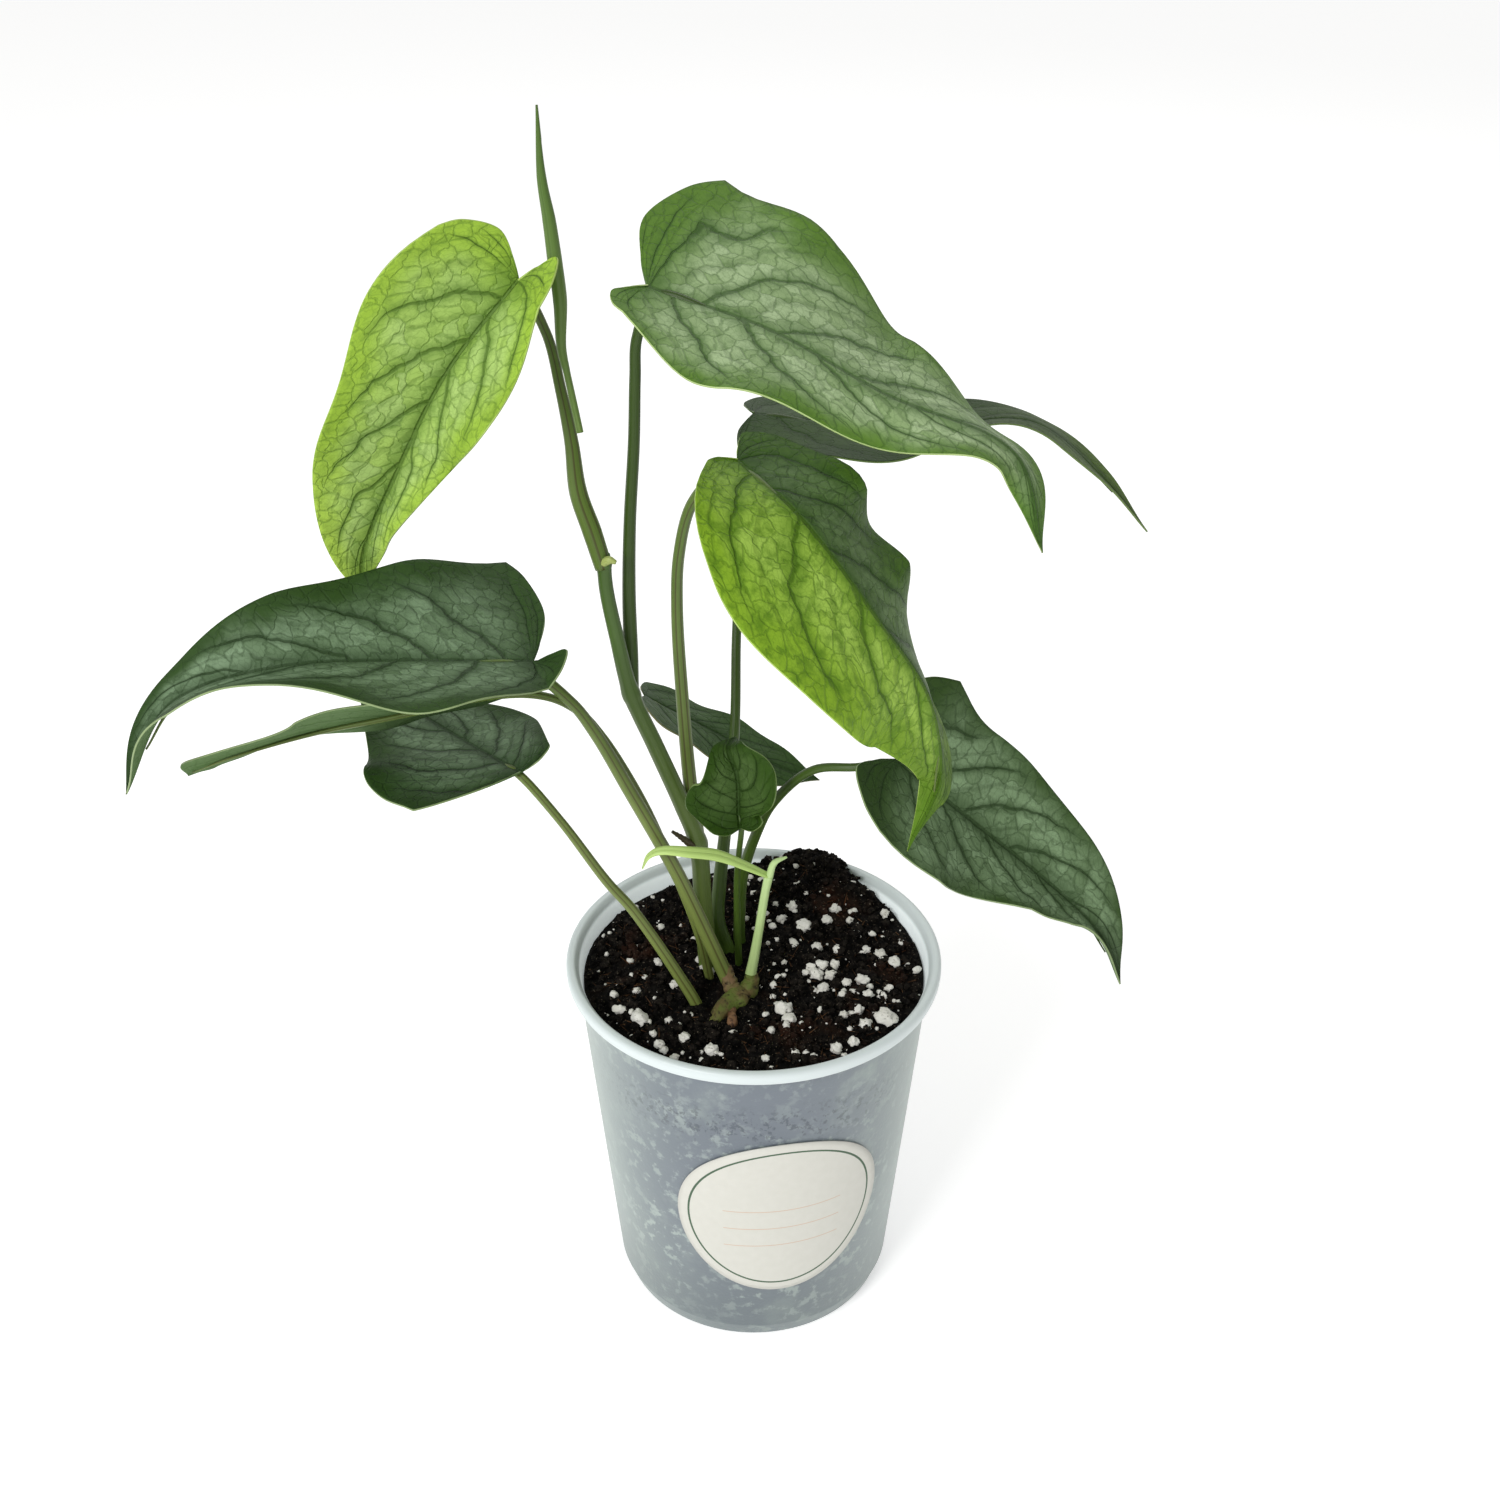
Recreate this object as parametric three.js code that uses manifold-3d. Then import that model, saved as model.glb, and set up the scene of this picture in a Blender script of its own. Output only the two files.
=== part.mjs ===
// Potted climbing house plant: a heart-leaved climber in a thin plastic grower's pot.
// Millimetres, +Z up, origin at the centre of the pot's flat base, -Y is the front.

import * as THREE from 'three';
import { mergeVertices } from 'three/addons/utils/BufferGeometryUtils.js';
import Module from 'manifold-3d';

const wasm = await Module();
wasm.setup();

// Driving dimensions

const GAP = 0.3;

const POT = {
  height: 126,
  rimRadius: 60,
  rimInnerRadius: 57,
  rimDrop: 4,
  wallTopRadius: 56.4,
  wallBottomRadius: 46,
  footRadius: 43.8,
  footHeight: 5.6,
  wall: 1.1,
  floor: 1.6,
  segments: 42,
  holeRadius: 4,
  holeRing: 28,
  holeCount: 6,
};

const SOIL = {
  edgeHeight: 118.5,
  moundHeight: 1.8,
  heapHeight: 9.5,
  heapX: 20,
  heapY: 45,
  heapSpread: 24,
  roughness: 1.1,
  rings: 7,
  sectors: 28,
  lumps: 32,
  lumpMin: 1.6,
  lumpMax: 3.6,
  seed: 11,
};

const LABEL = {
  centreHeight: 59,
  centreAngle: 10.5,
  thickness: 0.4,
  rings: 4,
  steps: 28,
  radius: 34,
};

const BLADE = {
  thickness: 0.8,
  along: 20,
  across: 3,
};

// The outline of one half of a blade, from the notch at the stalk round the back lobe
// to the tip. First number: share of the lobe length behind the notch when negative,
// share of the midrib length when positive. Second: share of the half width.
const HALF_OUTLINE = [
  [0, 0],
  [-0.55, 0.2],
  [-0.98, 0.46],
  [-0.58, 0.78],
  [0.09, 0.95],
  [0.28, 0.98],
  [0.46, 0.84],
  [0.63, 0.6],
  [0.79, 0.32],
  [0.91, 0.12],
  [1, 0],
];

// Where along the outline the side veins start to leave the midrib instead of the notch
const LOBE_SHARE = 0.35;

// Every leaf: midrib points from the notch to the tip, the way the upper face looks at
// the notch and at the tip (heading and height in degrees, heading 0 is +X, 270 is the
// front), and for each half its width, its shape, its back lobe, how far it is folded
// up at the notch and at the tip, how far it cups, and the wave of its edge (height,
// phase). Where a back lobe turns up like an ear, lift is its height. A shape says how
// much fuller than the common outline the half is: at the shoulder, in the middle, and
// in two and three swells between notch and tip.
// The right half lies to the right of somebody who looks from the notch to the tip
// with the upper face towards them.
const LEAVES = {
  upper_left: {
    midrib: [[-63, 8.5, 344], [-83, 3.5, 320.5], [-100, 4, 290], [-112.5, 7, 262.5], [-113.5, 9, 247]],
    faces: [[278, 32], [249, 9]],
    right: {
      width: 33, shape: [-0.08, 0.12, -0.18, 0.16], lobe: 8.5, fold: [34, 30], cup: 10,
      wave: [1.7, 0.94],
    },
    left: {
      width: 25.5, shape: [-0.26, 0, 0.22, 0.1], lobe: 12.5, fold: [47, -4], cup: 10, wave: [5.4, 0.44],
    },
    color: 0x8fae3a,
  },
  left_long: {
    midrib: [[-62, -22.5, 245], [-95, -33, 251], [-127.5, -42, 254], [-158.5, -42, 242.5],
      [-175.5, -42.5, 213.5]],
    faces: [[267, 88], [265, 70]],
    right: {
      width: 38, shape: [0.24, -0.46, 0.06, -0.07], lobe: 7.5, fold: [6, 32], cup: 14,
      wave: [1.9, 0.75],
    },
    left: {
      width: 34.5, shape: [-0.38, 0.46, 0.21, 0.14], lobe: 6.5, lift: 8, fold: [3, 39], cup: 12,
      wave: [3, 0.9],
    },
    color: 0x46604a,
  },
  left_edge_on: {
    midrib: [[-79, -12.5, 229.5], [-100, -18, 226.5], [-128.5, -22, 221.5], [-157, -30.5, 215.5],
      [-165, -19, 205]],
    faces: [[91, 54], [84, 55]],
    right: {
      width: 18.5, shape: [0, -0.06, 0, 0.1], lobe: 14, fold: [-11, -3], cup: 8, wave: [0.7, 0.87],
    },
    left: {
      width: 20, shape: [0.15, 0.15, 0.13, 0.04], lobe: 14, fold: [-6, 8], cup: 5, wave: [0.3, 0.22],
    },
    color: 0x3d5136,
  },
  lower_left: {
    midrib: [[-67, -26, 210.5], [-88, 3, 204], [-110.5, 25, 205], [-131, 39, 214]],
    faces: [[253, 72], [240, 95]],
    right: {
      width: 14.5, shape: [-0.14, 0.63, 0.02, 0], lobe: 2, fold: [8, -20], cup: 4, wave: [0.3, 0],
    },
    left: {
      width: 36, shape: [0.03, -0.04, 0.04, 0.03], lobe: 2, fold: [11, 6], cup: 8, wave: [1.9, 0.42],
    },
    color: 0x3f5b3c,
  },
  top: {
    midrib: [[-28, 0, 345], [4, -11.5, 337.5], [33.5, -24.5, 325], [68, -29.5, 310], [76, -35, 284.5]],
    faces: [[287, 67], [291, 67]],
    right: {
      width: 27.5, shape: [-0.34, 0.27, 0.18, 0.19], lobe: 7, fold: [7, -7], cup: 10, wave: [2.8, 0.36],
    },
    left: {
      width: 45, shape: [0.23, -0.05, -0.14, 0.06], lobe: 13, fold: [-2, -42], cup: 6,
      wave: [4.3, 0.75],
    },
    color: 0x4f7a40,
  },
  behind: {
    midrib: [[0, 64.5, 283.5], [47.5, 59, 281], [84, 54, 285], [106, 49.5, 268.5], [120, 42.5, 254]],
    faces: [[281, 92], [297, 92]],
    right: {
      width: 33, shape: [0.1, 0, 0.1, 0.12], lobe: 3, fold: [-2, 15], cup: 8, wave: [1.8, 0.84],
    },
    left: {
      width: 33.5, shape: [0.13, 0.04, 0.08, 0], lobe: 5, fold: [-14, -8], cup: 4, wave: [1.9, 0.11],
    },
    color: 0x3c5638,
  },
  centre: {
    midrib: [[-4.5, -13.5, 301.5], [12, -36, 295.5], [32.5, -47, 271], [47.5, -44.5, 245.5],
      [52, -41.5, 218.5], [49.5, -46, 213], [42.5, -53, 201.5]],
    faces: [[317, 72], [315, 26]],
    right: {
      width: 30, shape: [-0.61, 0.68, 0.26, 0.06], lobe: 2, fold: [4, -28], cup: 6, wave: [2.4, 0.14],
    },
    left: {
      width: 32.5, shape: [-0.33, 0.41, -0.07, 0.06], lobe: 11, fold: [0, -51], cup: 5,
      wave: [5.5, 0.01],
    },
    color: 0x7fa238,
  },
  right: {
    midrib: [[41.5, -15, 208], [65, -12.5, 185], [89.5, -20, 166.5], [101.5, -32.5, 159.5],
      [106.5, -52, 154]],
    faces: [[306, 41], [318, 27]],
    right: {
      width: 35, shape: [-0.16, 0.03, -0.05, 0.12], lobe: 14, fold: [12, 20], cup: 11,
      wave: [3.1, 0.73],
    },
    left: {
      width: 34, shape: [-0.07, -0.15, -0.08, -0.02], lobe: 15, fold: [27, 13], cup: 8,
      wave: [1.3, 0.43],
    },
    color: 0x46613f,
  },
  back: {
    midrib: [[-35.5, 54, 189.5], [-14, 51.5, 178], [5, 50.5, 166], [22, 50, 159.5]],
    faces: [[270, 104], [275, 68]],
    right: {
      width: 23.5, shape: [-0.11, -0.17, 0.01, 0.11], lobe: 2, fold: [4, -9], cup: 5, wave: [1.2, 0.6],
    },
    left: {
      width: 23, shape: [-0.21, -0.17, -0.12, 0.07], lobe: 2, fold: [-3, 5], cup: 5, wave: [1.1, 0.02],
    },
    color: 0x66795a,
  },
  small: {
    midrib: [[-4, -9, 180], [-4.5, -7, 182.5], [-5, -6, 196.5], [-7.5, -3, 204], [-5.5, 3.5, 204.5]],
    faces: [[260, 20], [229, 53]],
    right: {
      width: 16.5, shape: [-0.37, 0.21, -0.13, -0.11], lobe: 2, fold: [26, 5], cup: 14,
      wave: [0.5, 0.22],
    },
    left: {
      width: 16, shape: [-0.35, 0.27, 0.09, 0.02], lobe: 2, fold: [20, 12], cup: 14, wave: [0.7, 0.57],
    },
    color: 0x35502f,
  },
};

// The rib under a blade: share of the midrib length, share of the stalk's radius there
const RIB = [[0.02, 1], [0.22, 0.78], [0.4, 0.62], [0.58, 0.46]];

// Stalks and stems: points along the middle, radius at each point.
// A stalk named after a leaf carries on as the rib under that leaf's blade. It has
// six flat sides where no other number is given.
const STALKS = {
  upper_left: {
    points: [[-43, 2, 262], [-46, 3, 273], [-49.5, 5, 284], [-51, 8, 298], [-53.5, 11, 312],
      [-57, 13, 328]],
    radii: [2.6, 2.8, 2.6, 2, 1.6, 1.4],
    sides: 7,
  },
  left_long: {
    points: [[-8, -11, 123], [-12.5, -10.5, 135], [-17.5, -11, 149], [-24, -13, 167.5],
      [-37, -15, 197.5], [-46, -18, 219], [-52.5, -20.5, 231]],
    radii: [2.4, 2.4, 2.3, 2.2, 2, 1.8, 1.6],
  },
  left_edge_on: {
    points: [[-13, -5, 112], [-17, -5.5, 136], [-23.5, -6, 158.5], [-32, -8, 185], [-39, -10, 202.5],
      [-44.5, -12.5, 214.5], [-50, -14, 223], [-57, -14.5, 228], [-66, -14, 229.5]],
    radii: [1.5, 1.5, 1.4, 1.4, 1.3, 1.3, 1.3, 1.2, 1.2],
  },
  lower_left: {
    points: [[-14, -19, 104], [-17.5, -20, 119.5], [-24, -20.5, 134], [-36.5, -22, 158.5],
      [-44, -23, 170], [-56.5, -25, 193]],
    radii: [1.9, 1.9, 1.8, 1.6, 1.5, 1.3],
  },
  top: {
    points: [[-36.5, 5, 217], [-36.5, 8, 230], [-36.5, 9, 250], [-35.5, 8, 273], [-33.5, 7, 298.5],
      [-32.5, 5, 318], [-31.5, 3.5, 330]],
    radii: [2.2, 2.2, 2, 1.8, 1.7, 1.6, 1.5],
  },
  behind: {
    points: [[-6, 7, 106], [-8, 7.5, 120], [-11.5, 9, 132], [-11, 13, 143], [-8.5, 20, 166],
      [-6, 30, 192], [-5.5, 46, 215.5], [-4, 59, 243], [-2, 64, 268]],
    radii: [2.3, 2.3, 2.3, 2.2, 1.9, 1.6, 1.5, 1.4, 1.3],
  },
  centre: {
    points: [[-17.5, 4, 167], [-19.5, 7, 184], [-21.5, 8, 215], [-22.5, 7, 246], [-21.5, 4, 265],
      [-17.5, -1, 283], [-10, -8.5, 295]],
    radii: [2.4, 2.2, 2, 1.8, 1.7, 1.6, 1.4],
  },
  right: {
    points: [[-2, 14, 106], [-4.5, 12.5, 120], [-4.5, 10, 135], [-3.5, 7, 151], [0.5, 3, 169],
      [6, -1, 184], [18, -8, 200], [30, -13, 204]],
    radii: [2, 2, 1.9, 1.8, 1.7, 1.6, 1.4, 1.3],
  },
  back: {
    points: [[-15.5, 44, 108], [-16, 46, 121], [-19.5, 52, 133], [-24.5, 54, 147], [-33, 54, 171],
      [-35.5, 54, 181.5]],
    radii: [1.2, 1.2, 1.2, 1.1, 1.1, 1],
  },
  small: {
    points: [[-4, 3.5, 108], [-4.8, 2.5, 120], [-5.2, 0.5, 138], [-5.2, -3, 158], [-4.5, -6.5, 170]],
    radii: [1.2, 1.2, 1.1, 1, 0.9],
  },
};

const VINE = {
  points: [[-12, -1, 100], [-14.5, -0.5, 120], [-16, 1, 144], [-17.5, 2, 167], [-22, 3, 180.5],
    [-30, 4, 201.5], [-36.5, 4, 219], [-40, 3, 238], [-42.5, 2, 255], [-43, 2, 266]],
  radii: [3, 3, 2.9, 2.8, 2.7, 2.6, 2.5, 2.2, 2.1, 2],
  // rings where a leaf stands off: how far up the stem, as a share of its points
  nodes: [[-17.5, 2, 167, 3.3], [-36.5, 4, 219, 2.9], [-43, 2, 264, 2.3]],
  stubs: [
    { points: [[-18, 0, 166], [-21.5, -2, 171], [-25, -3, 174.5]], radii: [1.2, 0.9, 0.5] },
    { points: [[-43, 1, 264], [-41, -0.5, 265.5], [-39.2, -1, 265]], radii: [1.3, 1.1, 0.6] },
  ],
  color: 0x7c9448,
};

const CUTTING = {
  points: [[-14, -30, 110], [-12.5, -26, 119], [-9.5, -19, 122.5], [-5, -12.5, 123], [-2, -8, 119],
    [0, -5, 108]],
  radii: [1.8, 2, 2.4, 3.4, 2.6, 2],
  cutEnd: { points: [[-4.5, -11, 122], [-4, -18, 119.8]], radii: [2.4, 2.6] },
  root: { points: [[-7.5, -17, 121], [-7, -22, 117], [-6.5, -25, 112]], radii: [1, 0.9, 0.8] },
  color: 0x5b4630,
};

const SHOOT = {
  points: [[-1, -12, 126.5], [0, -12.5, 133], [1.5, -13, 144], [3.5, -14, 160], [4.5, -14.5, 166]],
  radii: [1.5, 1.5, 1.4, 1.3, 1.3],
  hook: { points: [[4.5, -14.5, 165], [6.2, -14, 170.5], [10, -13, 172]], radii: [1.2, 1, 0.6] },
  color: 0xa9b873,
};

// The shoot's one narrow pale leaf, arching to the left
const PALE_LEAF = {
  points: [[4.5, -14.5, 166], [-2.5, -16, 170.8], [-11, -18, 176], [-19, -20, 178.5], [-28, -20, 179],
    [-31.5, -20, 177], [-33.5, -20, 172.5]],
  radii: [1.1, 1.4, 1.7, 1.6, 1.2, 0.9, 0.5],
};

// The newest leaf, still rolled into a spike, and its short stalk
const NEW_LEAF = {
  points: [[-48, 2.5, 303], [-49.5, 4, 311], [-51, 5.2, 319], [-52.2, 6.2, 326], [-52, 7, 339],
    [-53, 8, 350], [-54, 9, 360], [-55.5, 10, 371], [-56, 12, 389]],
  radii: [1, 1, 1, 1.3, 1.9, 2, 1.8, 1.3, 0.4],
  color: 0xa4c25e,
};

// Solids and booleans

function cleaned(geometry) {
  const plain = geometry.clone();
  plain.deleteAttribute('normal');
  plain.deleteAttribute('uv');
  return mergeVertices(plain, 1e-4);
}

function toSolid(geometry) {
  const merged = cleaned(geometry);
  const mesh = new wasm.Mesh({
    numProp: 3,
    vertProperties: new Float32Array(merged.attributes.position.array),
    triVerts: new Uint32Array(merged.index.array),
  });
  return new wasm.Manifold(mesh);
}

function toGeometry(solid) {
  const mesh = solid.getMesh();
  const geometry = new THREE.BufferGeometry();
  geometry.setAttribute('position', new THREE.Float32BufferAttribute(mesh.vertProperties, 3));
  geometry.setIndex(Array.from(mesh.triVerts));
  return geometry;
}

function largestBody(solid) {
  const bodies = solid.decompose();
  let best = bodies[0];
  for (const body of bodies) {
    if (body.volume() > best.volume()) {
      best = body;
    }
  }
  return best;
}

function joined(solids) {
  return solids.reduce((sum, solid) => sum.add(solid));
}

function vectors(points) {
  return points.map((p) => new THREE.Vector3(...p));
}

// A closed rod: a lathe turned about its axis, then bent along a curve.
function bentRod(points, radii, options = {}) {
  const { sides = 7, steps = Math.round(points.length * 1.5), grow = 0 } = options;
  const curve = new THREE.CatmullRomCurve3(vectors(points), false, 'centripetal');
  const profile = [new THREE.Vector2(0, 0)];
  for (let i = 0; i <= steps; i++) {
    const share = (i / steps) * (radii.length - 1);
    const k = Math.min(Math.floor(share), radii.length - 2);
    const radius = THREE.MathUtils.lerp(radii[k], radii[k + 1], share - k) + grow;
    profile.push(new THREE.Vector2(radius, i / steps));
  }
  profile.push(new THREE.Vector2(0, 1));
  const rod = cleaned(new THREE.LatheGeometry(profile, sides));
  const frames = curve.computeFrenetFrames(steps, false);
  const position = rod.attributes.position;
  const start = curve.getTangent(0).multiplyScalar(-grow);
  const end = curve.getTangent(1).multiplyScalar(grow);
  const at = new THREE.Vector3();
  for (let i = 0; i < position.count; i++) {
    const row = Math.round(position.getY(i) * steps);
    at.copy(curve.getPoint(row / steps));
    if (row === 0) {
      at.add(start);
    } else if (row === steps) {
      at.add(end);
    }
    at.addScaledVector(frames.normals[row], position.getX(i));
    at.addScaledVector(frames.binormals[row], -position.getZ(i));
    position.setXYZ(i, at.x, at.y, at.z);
  }
  return toSolid(rod);
}

// Blades

function heading([turn, height]) {
  const a = THREE.MathUtils.degToRad(turn);
  const b = THREE.MathUtils.degToRad(height);
  return new THREE.Vector3(Math.cos(a) * Math.cos(b), Math.sin(a) * Math.cos(b), Math.sin(b));
}

function halfOutline(u) {
  const curve = new THREE.SplineCurve(HALF_OUTLINE.map((p) => new THREE.Vector2(...p)));
  return curve.getPoint(u);
}

// How much wider than the common outline a half is, from the notch at 0 to the tip at 1
function fullness([shoulder, middle, second, third], x) {
  const turn = Math.PI * x;
  const swells = middle * Math.sin(turn) + second * Math.sin(2 * turn) + third * Math.sin(3 * turn);
  return 1 + shoulder * Math.cos(turn / 2) ** 2 + swells;
}

// The point of a leaf's middle surface, for a share u of the outline from notch to tip
// and a share v from the midrib out to that edge. side is 1 for the right half.
function bladePoint(leaf, curve, length, side, u, v) {
  const half = side > 0 ? leaf.right : leaf.left;
  const edge = halfOutline(u);
  const edgeAlong = edge.x < 0 ? edge.x * half.lobe : edge.x * length;
  const full = fullness(half.shape, THREE.MathUtils.clamp(edge.x, 0, 1));
  const edgeAcross = Math.max(edge.y, 0) * half.width * full;
  const root = Math.max(0, (u - LOBE_SHARE) / (1 - LOBE_SHARE)) ** 1.3 * length;
  const along = THREE.MathUtils.lerp(root, edgeAlong, v);
  const t = THREE.MathUtils.clamp(along / length, 0, 1);

  const tangent = curve.getTangentAt(t);
  const point = curve.getPointAt(t).addScaledVector(tangent, along - t * length);
  const up = heading(leaf.faces[0]).lerp(heading(leaf.faces[1]), t);
  up.addScaledVector(tangent, -up.dot(tangent)).normalize();
  const out = new THREE.Vector3().crossVectors(tangent, up).multiplyScalar(side);

  const fold = THREE.MathUtils.degToRad(THREE.MathUtils.lerp(half.fold[0], half.fold[1], t));
  const cup = THREE.MathUtils.degToRad(half.cup);
  const outward = edgeAcross * (Math.sin(fold + cup * v) - Math.sin(fold)) / cup;
  const rise = edgeAcross * (Math.cos(fold) - Math.cos(fold + cup * v)) / cup;

  const fade = THREE.MathUtils.clamp((along / length + 0.1) / 0.3, 0, 1)
    * THREE.MathUtils.clamp((1 - along / length) / 0.3, 0, 1);
  const wave = half.wave[0] * v * v * Math.sin(2 * Math.PI * (2.6 * t + half.wave[1])) * fade;
  const lifted = (half.lift ?? 0) * Math.max(0, -along / half.lobe) * v;
  return point.addScaledVector(out, outward).addScaledVector(up, rise + wave + lifted);
}

// A blade as a thin closed solid: the middle surface moved half a thickness each way.
function bladeSolid(leaf, thickness) {
  const curve = new THREE.CatmullRomCurve3(vectors(leaf.midrib), false, 'centripetal');
  const length = curve.getLength();
  const points = [];
  const ids = new Map();
  function vertex(side, j, k) {
    const u = j / BLADE.along;
    const onNotch = j === 0 || (k === 0 && u <= LOBE_SHARE);
    let name = k === 0 ? `mid${j}` : `${side},${j},${k}`;
    if (onNotch) {
      name = 'notch';
    } else if (j === BLADE.along) {
      name = 'tip';
    }
    if (!ids.has(name)) {
      ids.set(name, points.length);
      const v = onNotch ? 0 : k / BLADE.across;
      points.push(bladePoint(leaf, curve, length, side, onNotch ? 0 : u, v));
    }
    return ids.get(name);
  }

  const faces = [];
  function face(a, b, c) {
    if (a !== b && b !== c && c !== a) {
      faces.push([a, b, c]);
    }
  }
  for (const side of [1, -1]) {
    for (let j = 0; j < BLADE.along; j++) {
      for (let k = 0; k < BLADE.across; k++) {
        const near = [vertex(side, j, k), vertex(side, j + 1, k)];
        const far = [vertex(side, j, k + 1), vertex(side, j + 1, k + 1)];
        if (side > 0) {
          face(near[0], far[0], far[1]);
          face(near[0], far[1], near[1]);
        } else {
          face(near[0], far[1], far[0]);
          face(near[0], near[1], far[1]);
        }
      }
    }
  }

  const normals = points.map(() => new THREE.Vector3());
  for (const [a, b, c] of faces) {
    const ab = points[b].clone().sub(points[a]);
    const ac = points[c].clone().sub(points[a]);
    const n = ab.cross(ac);
    for (const id of [a, b, c]) {
      normals[id].add(n);
    }
  }
  const count = points.length;
  const position = [];
  for (const half of [0.5, -0.5]) {
    points.forEach((p, i) => {
      const moved = p.clone().addScaledVector(normals[i].clone().normalize(), half * thickness);
      position.push(moved.x, moved.y, moved.z);
    });
  }
  const index = [];
  for (const [a, b, c] of faces) {
    index.push(a, b, c);
    index.push(a + count, c + count, b + count);
  }
  const rim = [];
  for (let j = 0; j <= BLADE.along; j++) {
    rim.push(vertex(1, j, BLADE.across));
  }
  for (let j = BLADE.along - 1; j > 0; j--) {
    rim.push(vertex(-1, j, BLADE.across));
  }
  rim.forEach((a, i) => {
    const b = rim[(i + 1) % rim.length];
    index.push(a, a + count, b);
    index.push(b, a + count, b + count);
  });
  const geometry = new THREE.BufferGeometry();
  geometry.setAttribute('position', new THREE.Float32BufferAttribute(position, 3));
  geometry.setIndex(index);
  return toSolid(geometry);
}

// Pot

function wallRadius(z) {
  const share = (z - POT.footHeight) / (POT.height - POT.rimDrop - POT.footHeight);
  return THREE.MathUtils.lerp(POT.wallBottomRadius, POT.wallTopRadius, share);
}

function potSolid() {
  const top = POT.height;
  const lip = top - POT.rimDrop;
  const profile = [
    [0, 0],
    [POT.footRadius, 0],
    [POT.wallBottomRadius, POT.footHeight],
    [POT.wallTopRadius, lip],
    [POT.rimRadius - 0.5, lip],
    [POT.rimRadius, lip + 0.6],
    [POT.rimRadius, top - 0.9],
    [POT.rimRadius - 0.9, top],
    [POT.rimInnerRadius + 0.6, top],
    [POT.rimInnerRadius, top - 0.6],
    [POT.wallTopRadius - POT.wall, lip - 1],
    [POT.wallBottomRadius - POT.wall, POT.footHeight],
    [POT.footRadius - 0.8, POT.floor],
    [0, POT.floor],
  ];
  const outline = profile.map(([r, z]) => new THREE.Vector2(r, z));
  const lathe = new THREE.LatheGeometry(outline, POT.segments);
  lathe.rotateX(Math.PI / 2);
  let pot = toSolid(lathe);
  for (let i = 0; i < POT.holeCount; i++) {
    const angle = (i / POT.holeCount) * 2 * Math.PI;
    const hole = new THREE.CylinderGeometry(POT.holeRadius, POT.holeRadius, 6, 12);
    hole.rotateX(Math.PI / 2);
    hole.translate(POT.holeRing * Math.cos(angle), POT.holeRing * Math.sin(angle), 0);
    pot = pot.subtract(toSolid(hole));
  }
  return pot;
}

// Label: a blank round sticker bent round the front of the wall.
function labelSolid() {
  const middle = THREE.MathUtils.degToRad(LABEL.centreAngle - 90);
  const position = [];
  function place(x, y, lift) {
    const z = LABEL.centreHeight + y;
    const r = wallRadius(z) + 1.5 * GAP + lift;
    const angle = middle + x / wallRadius(LABEL.centreHeight);
    position.push(r * Math.cos(angle), r * Math.sin(angle), z);
  }
  for (const lift of [LABEL.thickness, 0]) {
    place(0, 0, lift);
    for (let ring = 1; ring <= LABEL.rings; ring++) {
      const r = LABEL.radius * ring / LABEL.rings;
      for (let i = 0; i < LABEL.steps; i++) {
        const turn = (i / LABEL.steps) * 2 * Math.PI;
        place(r * Math.cos(turn), r * Math.sin(turn), lift);
      }
    }
  }
  const n = LABEL.steps;
  const layer = 1 + LABEL.rings * n;
  const index = [];
  function face(a, b, c) {
    index.push(a, c, b, a + layer, b + layer, c + layer);
  }
  for (let i = 0; i < n; i++) {
    const next = (i + 1) % n;
    face(0, 1 + next, 1 + i);
    for (let ring = 0; ring < LABEL.rings - 1; ring++) {
      const a = 1 + ring * n;
      const b = a + n;
      face(a + i, a + next, b + next);
      face(a + i, b + next, b + i);
    }
    const last = 1 + (LABEL.rings - 1) * n;
    index.push(last + i, last + i + layer, last + next);
    index.push(last + next, last + i + layer, last + next + layer);
  }
  const geometry = new THREE.BufferGeometry();
  geometry.setAttribute('position', new THREE.Float32BufferAttribute(position, 3));
  geometry.setIndex(index);
  return toSolid(geometry);
}

// Soil: a rough mound, with the larger lumps and grains grown into it.

function randomNumbers(seed) {
  let state = seed;
  return () => {
    state = (state * 1664525 + 1013904223) % 4294967296;
    return state / 4294967296;
  };
}

function soilHeight(x, y) {
  const r = Math.hypot(x, y) / wallRadius(SOIL.edgeHeight);
  const rough = Math.sin(x * 0.31 + 1) * Math.cos(y * 0.27) + 0.6 * Math.sin(x * 0.53 - y * 0.41 + 2);
  const fromHeap = Math.hypot(x - SOIL.heapX, y - SOIL.heapY) / SOIL.heapSpread;
  const heap = SOIL.heapHeight * Math.exp(-fromHeap * fromHeap);
  return SOIL.edgeHeight + SOIL.moundHeight * (1 - r * r) + heap + SOIL.roughness * rough * (1 - r ** 4);
}

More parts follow.
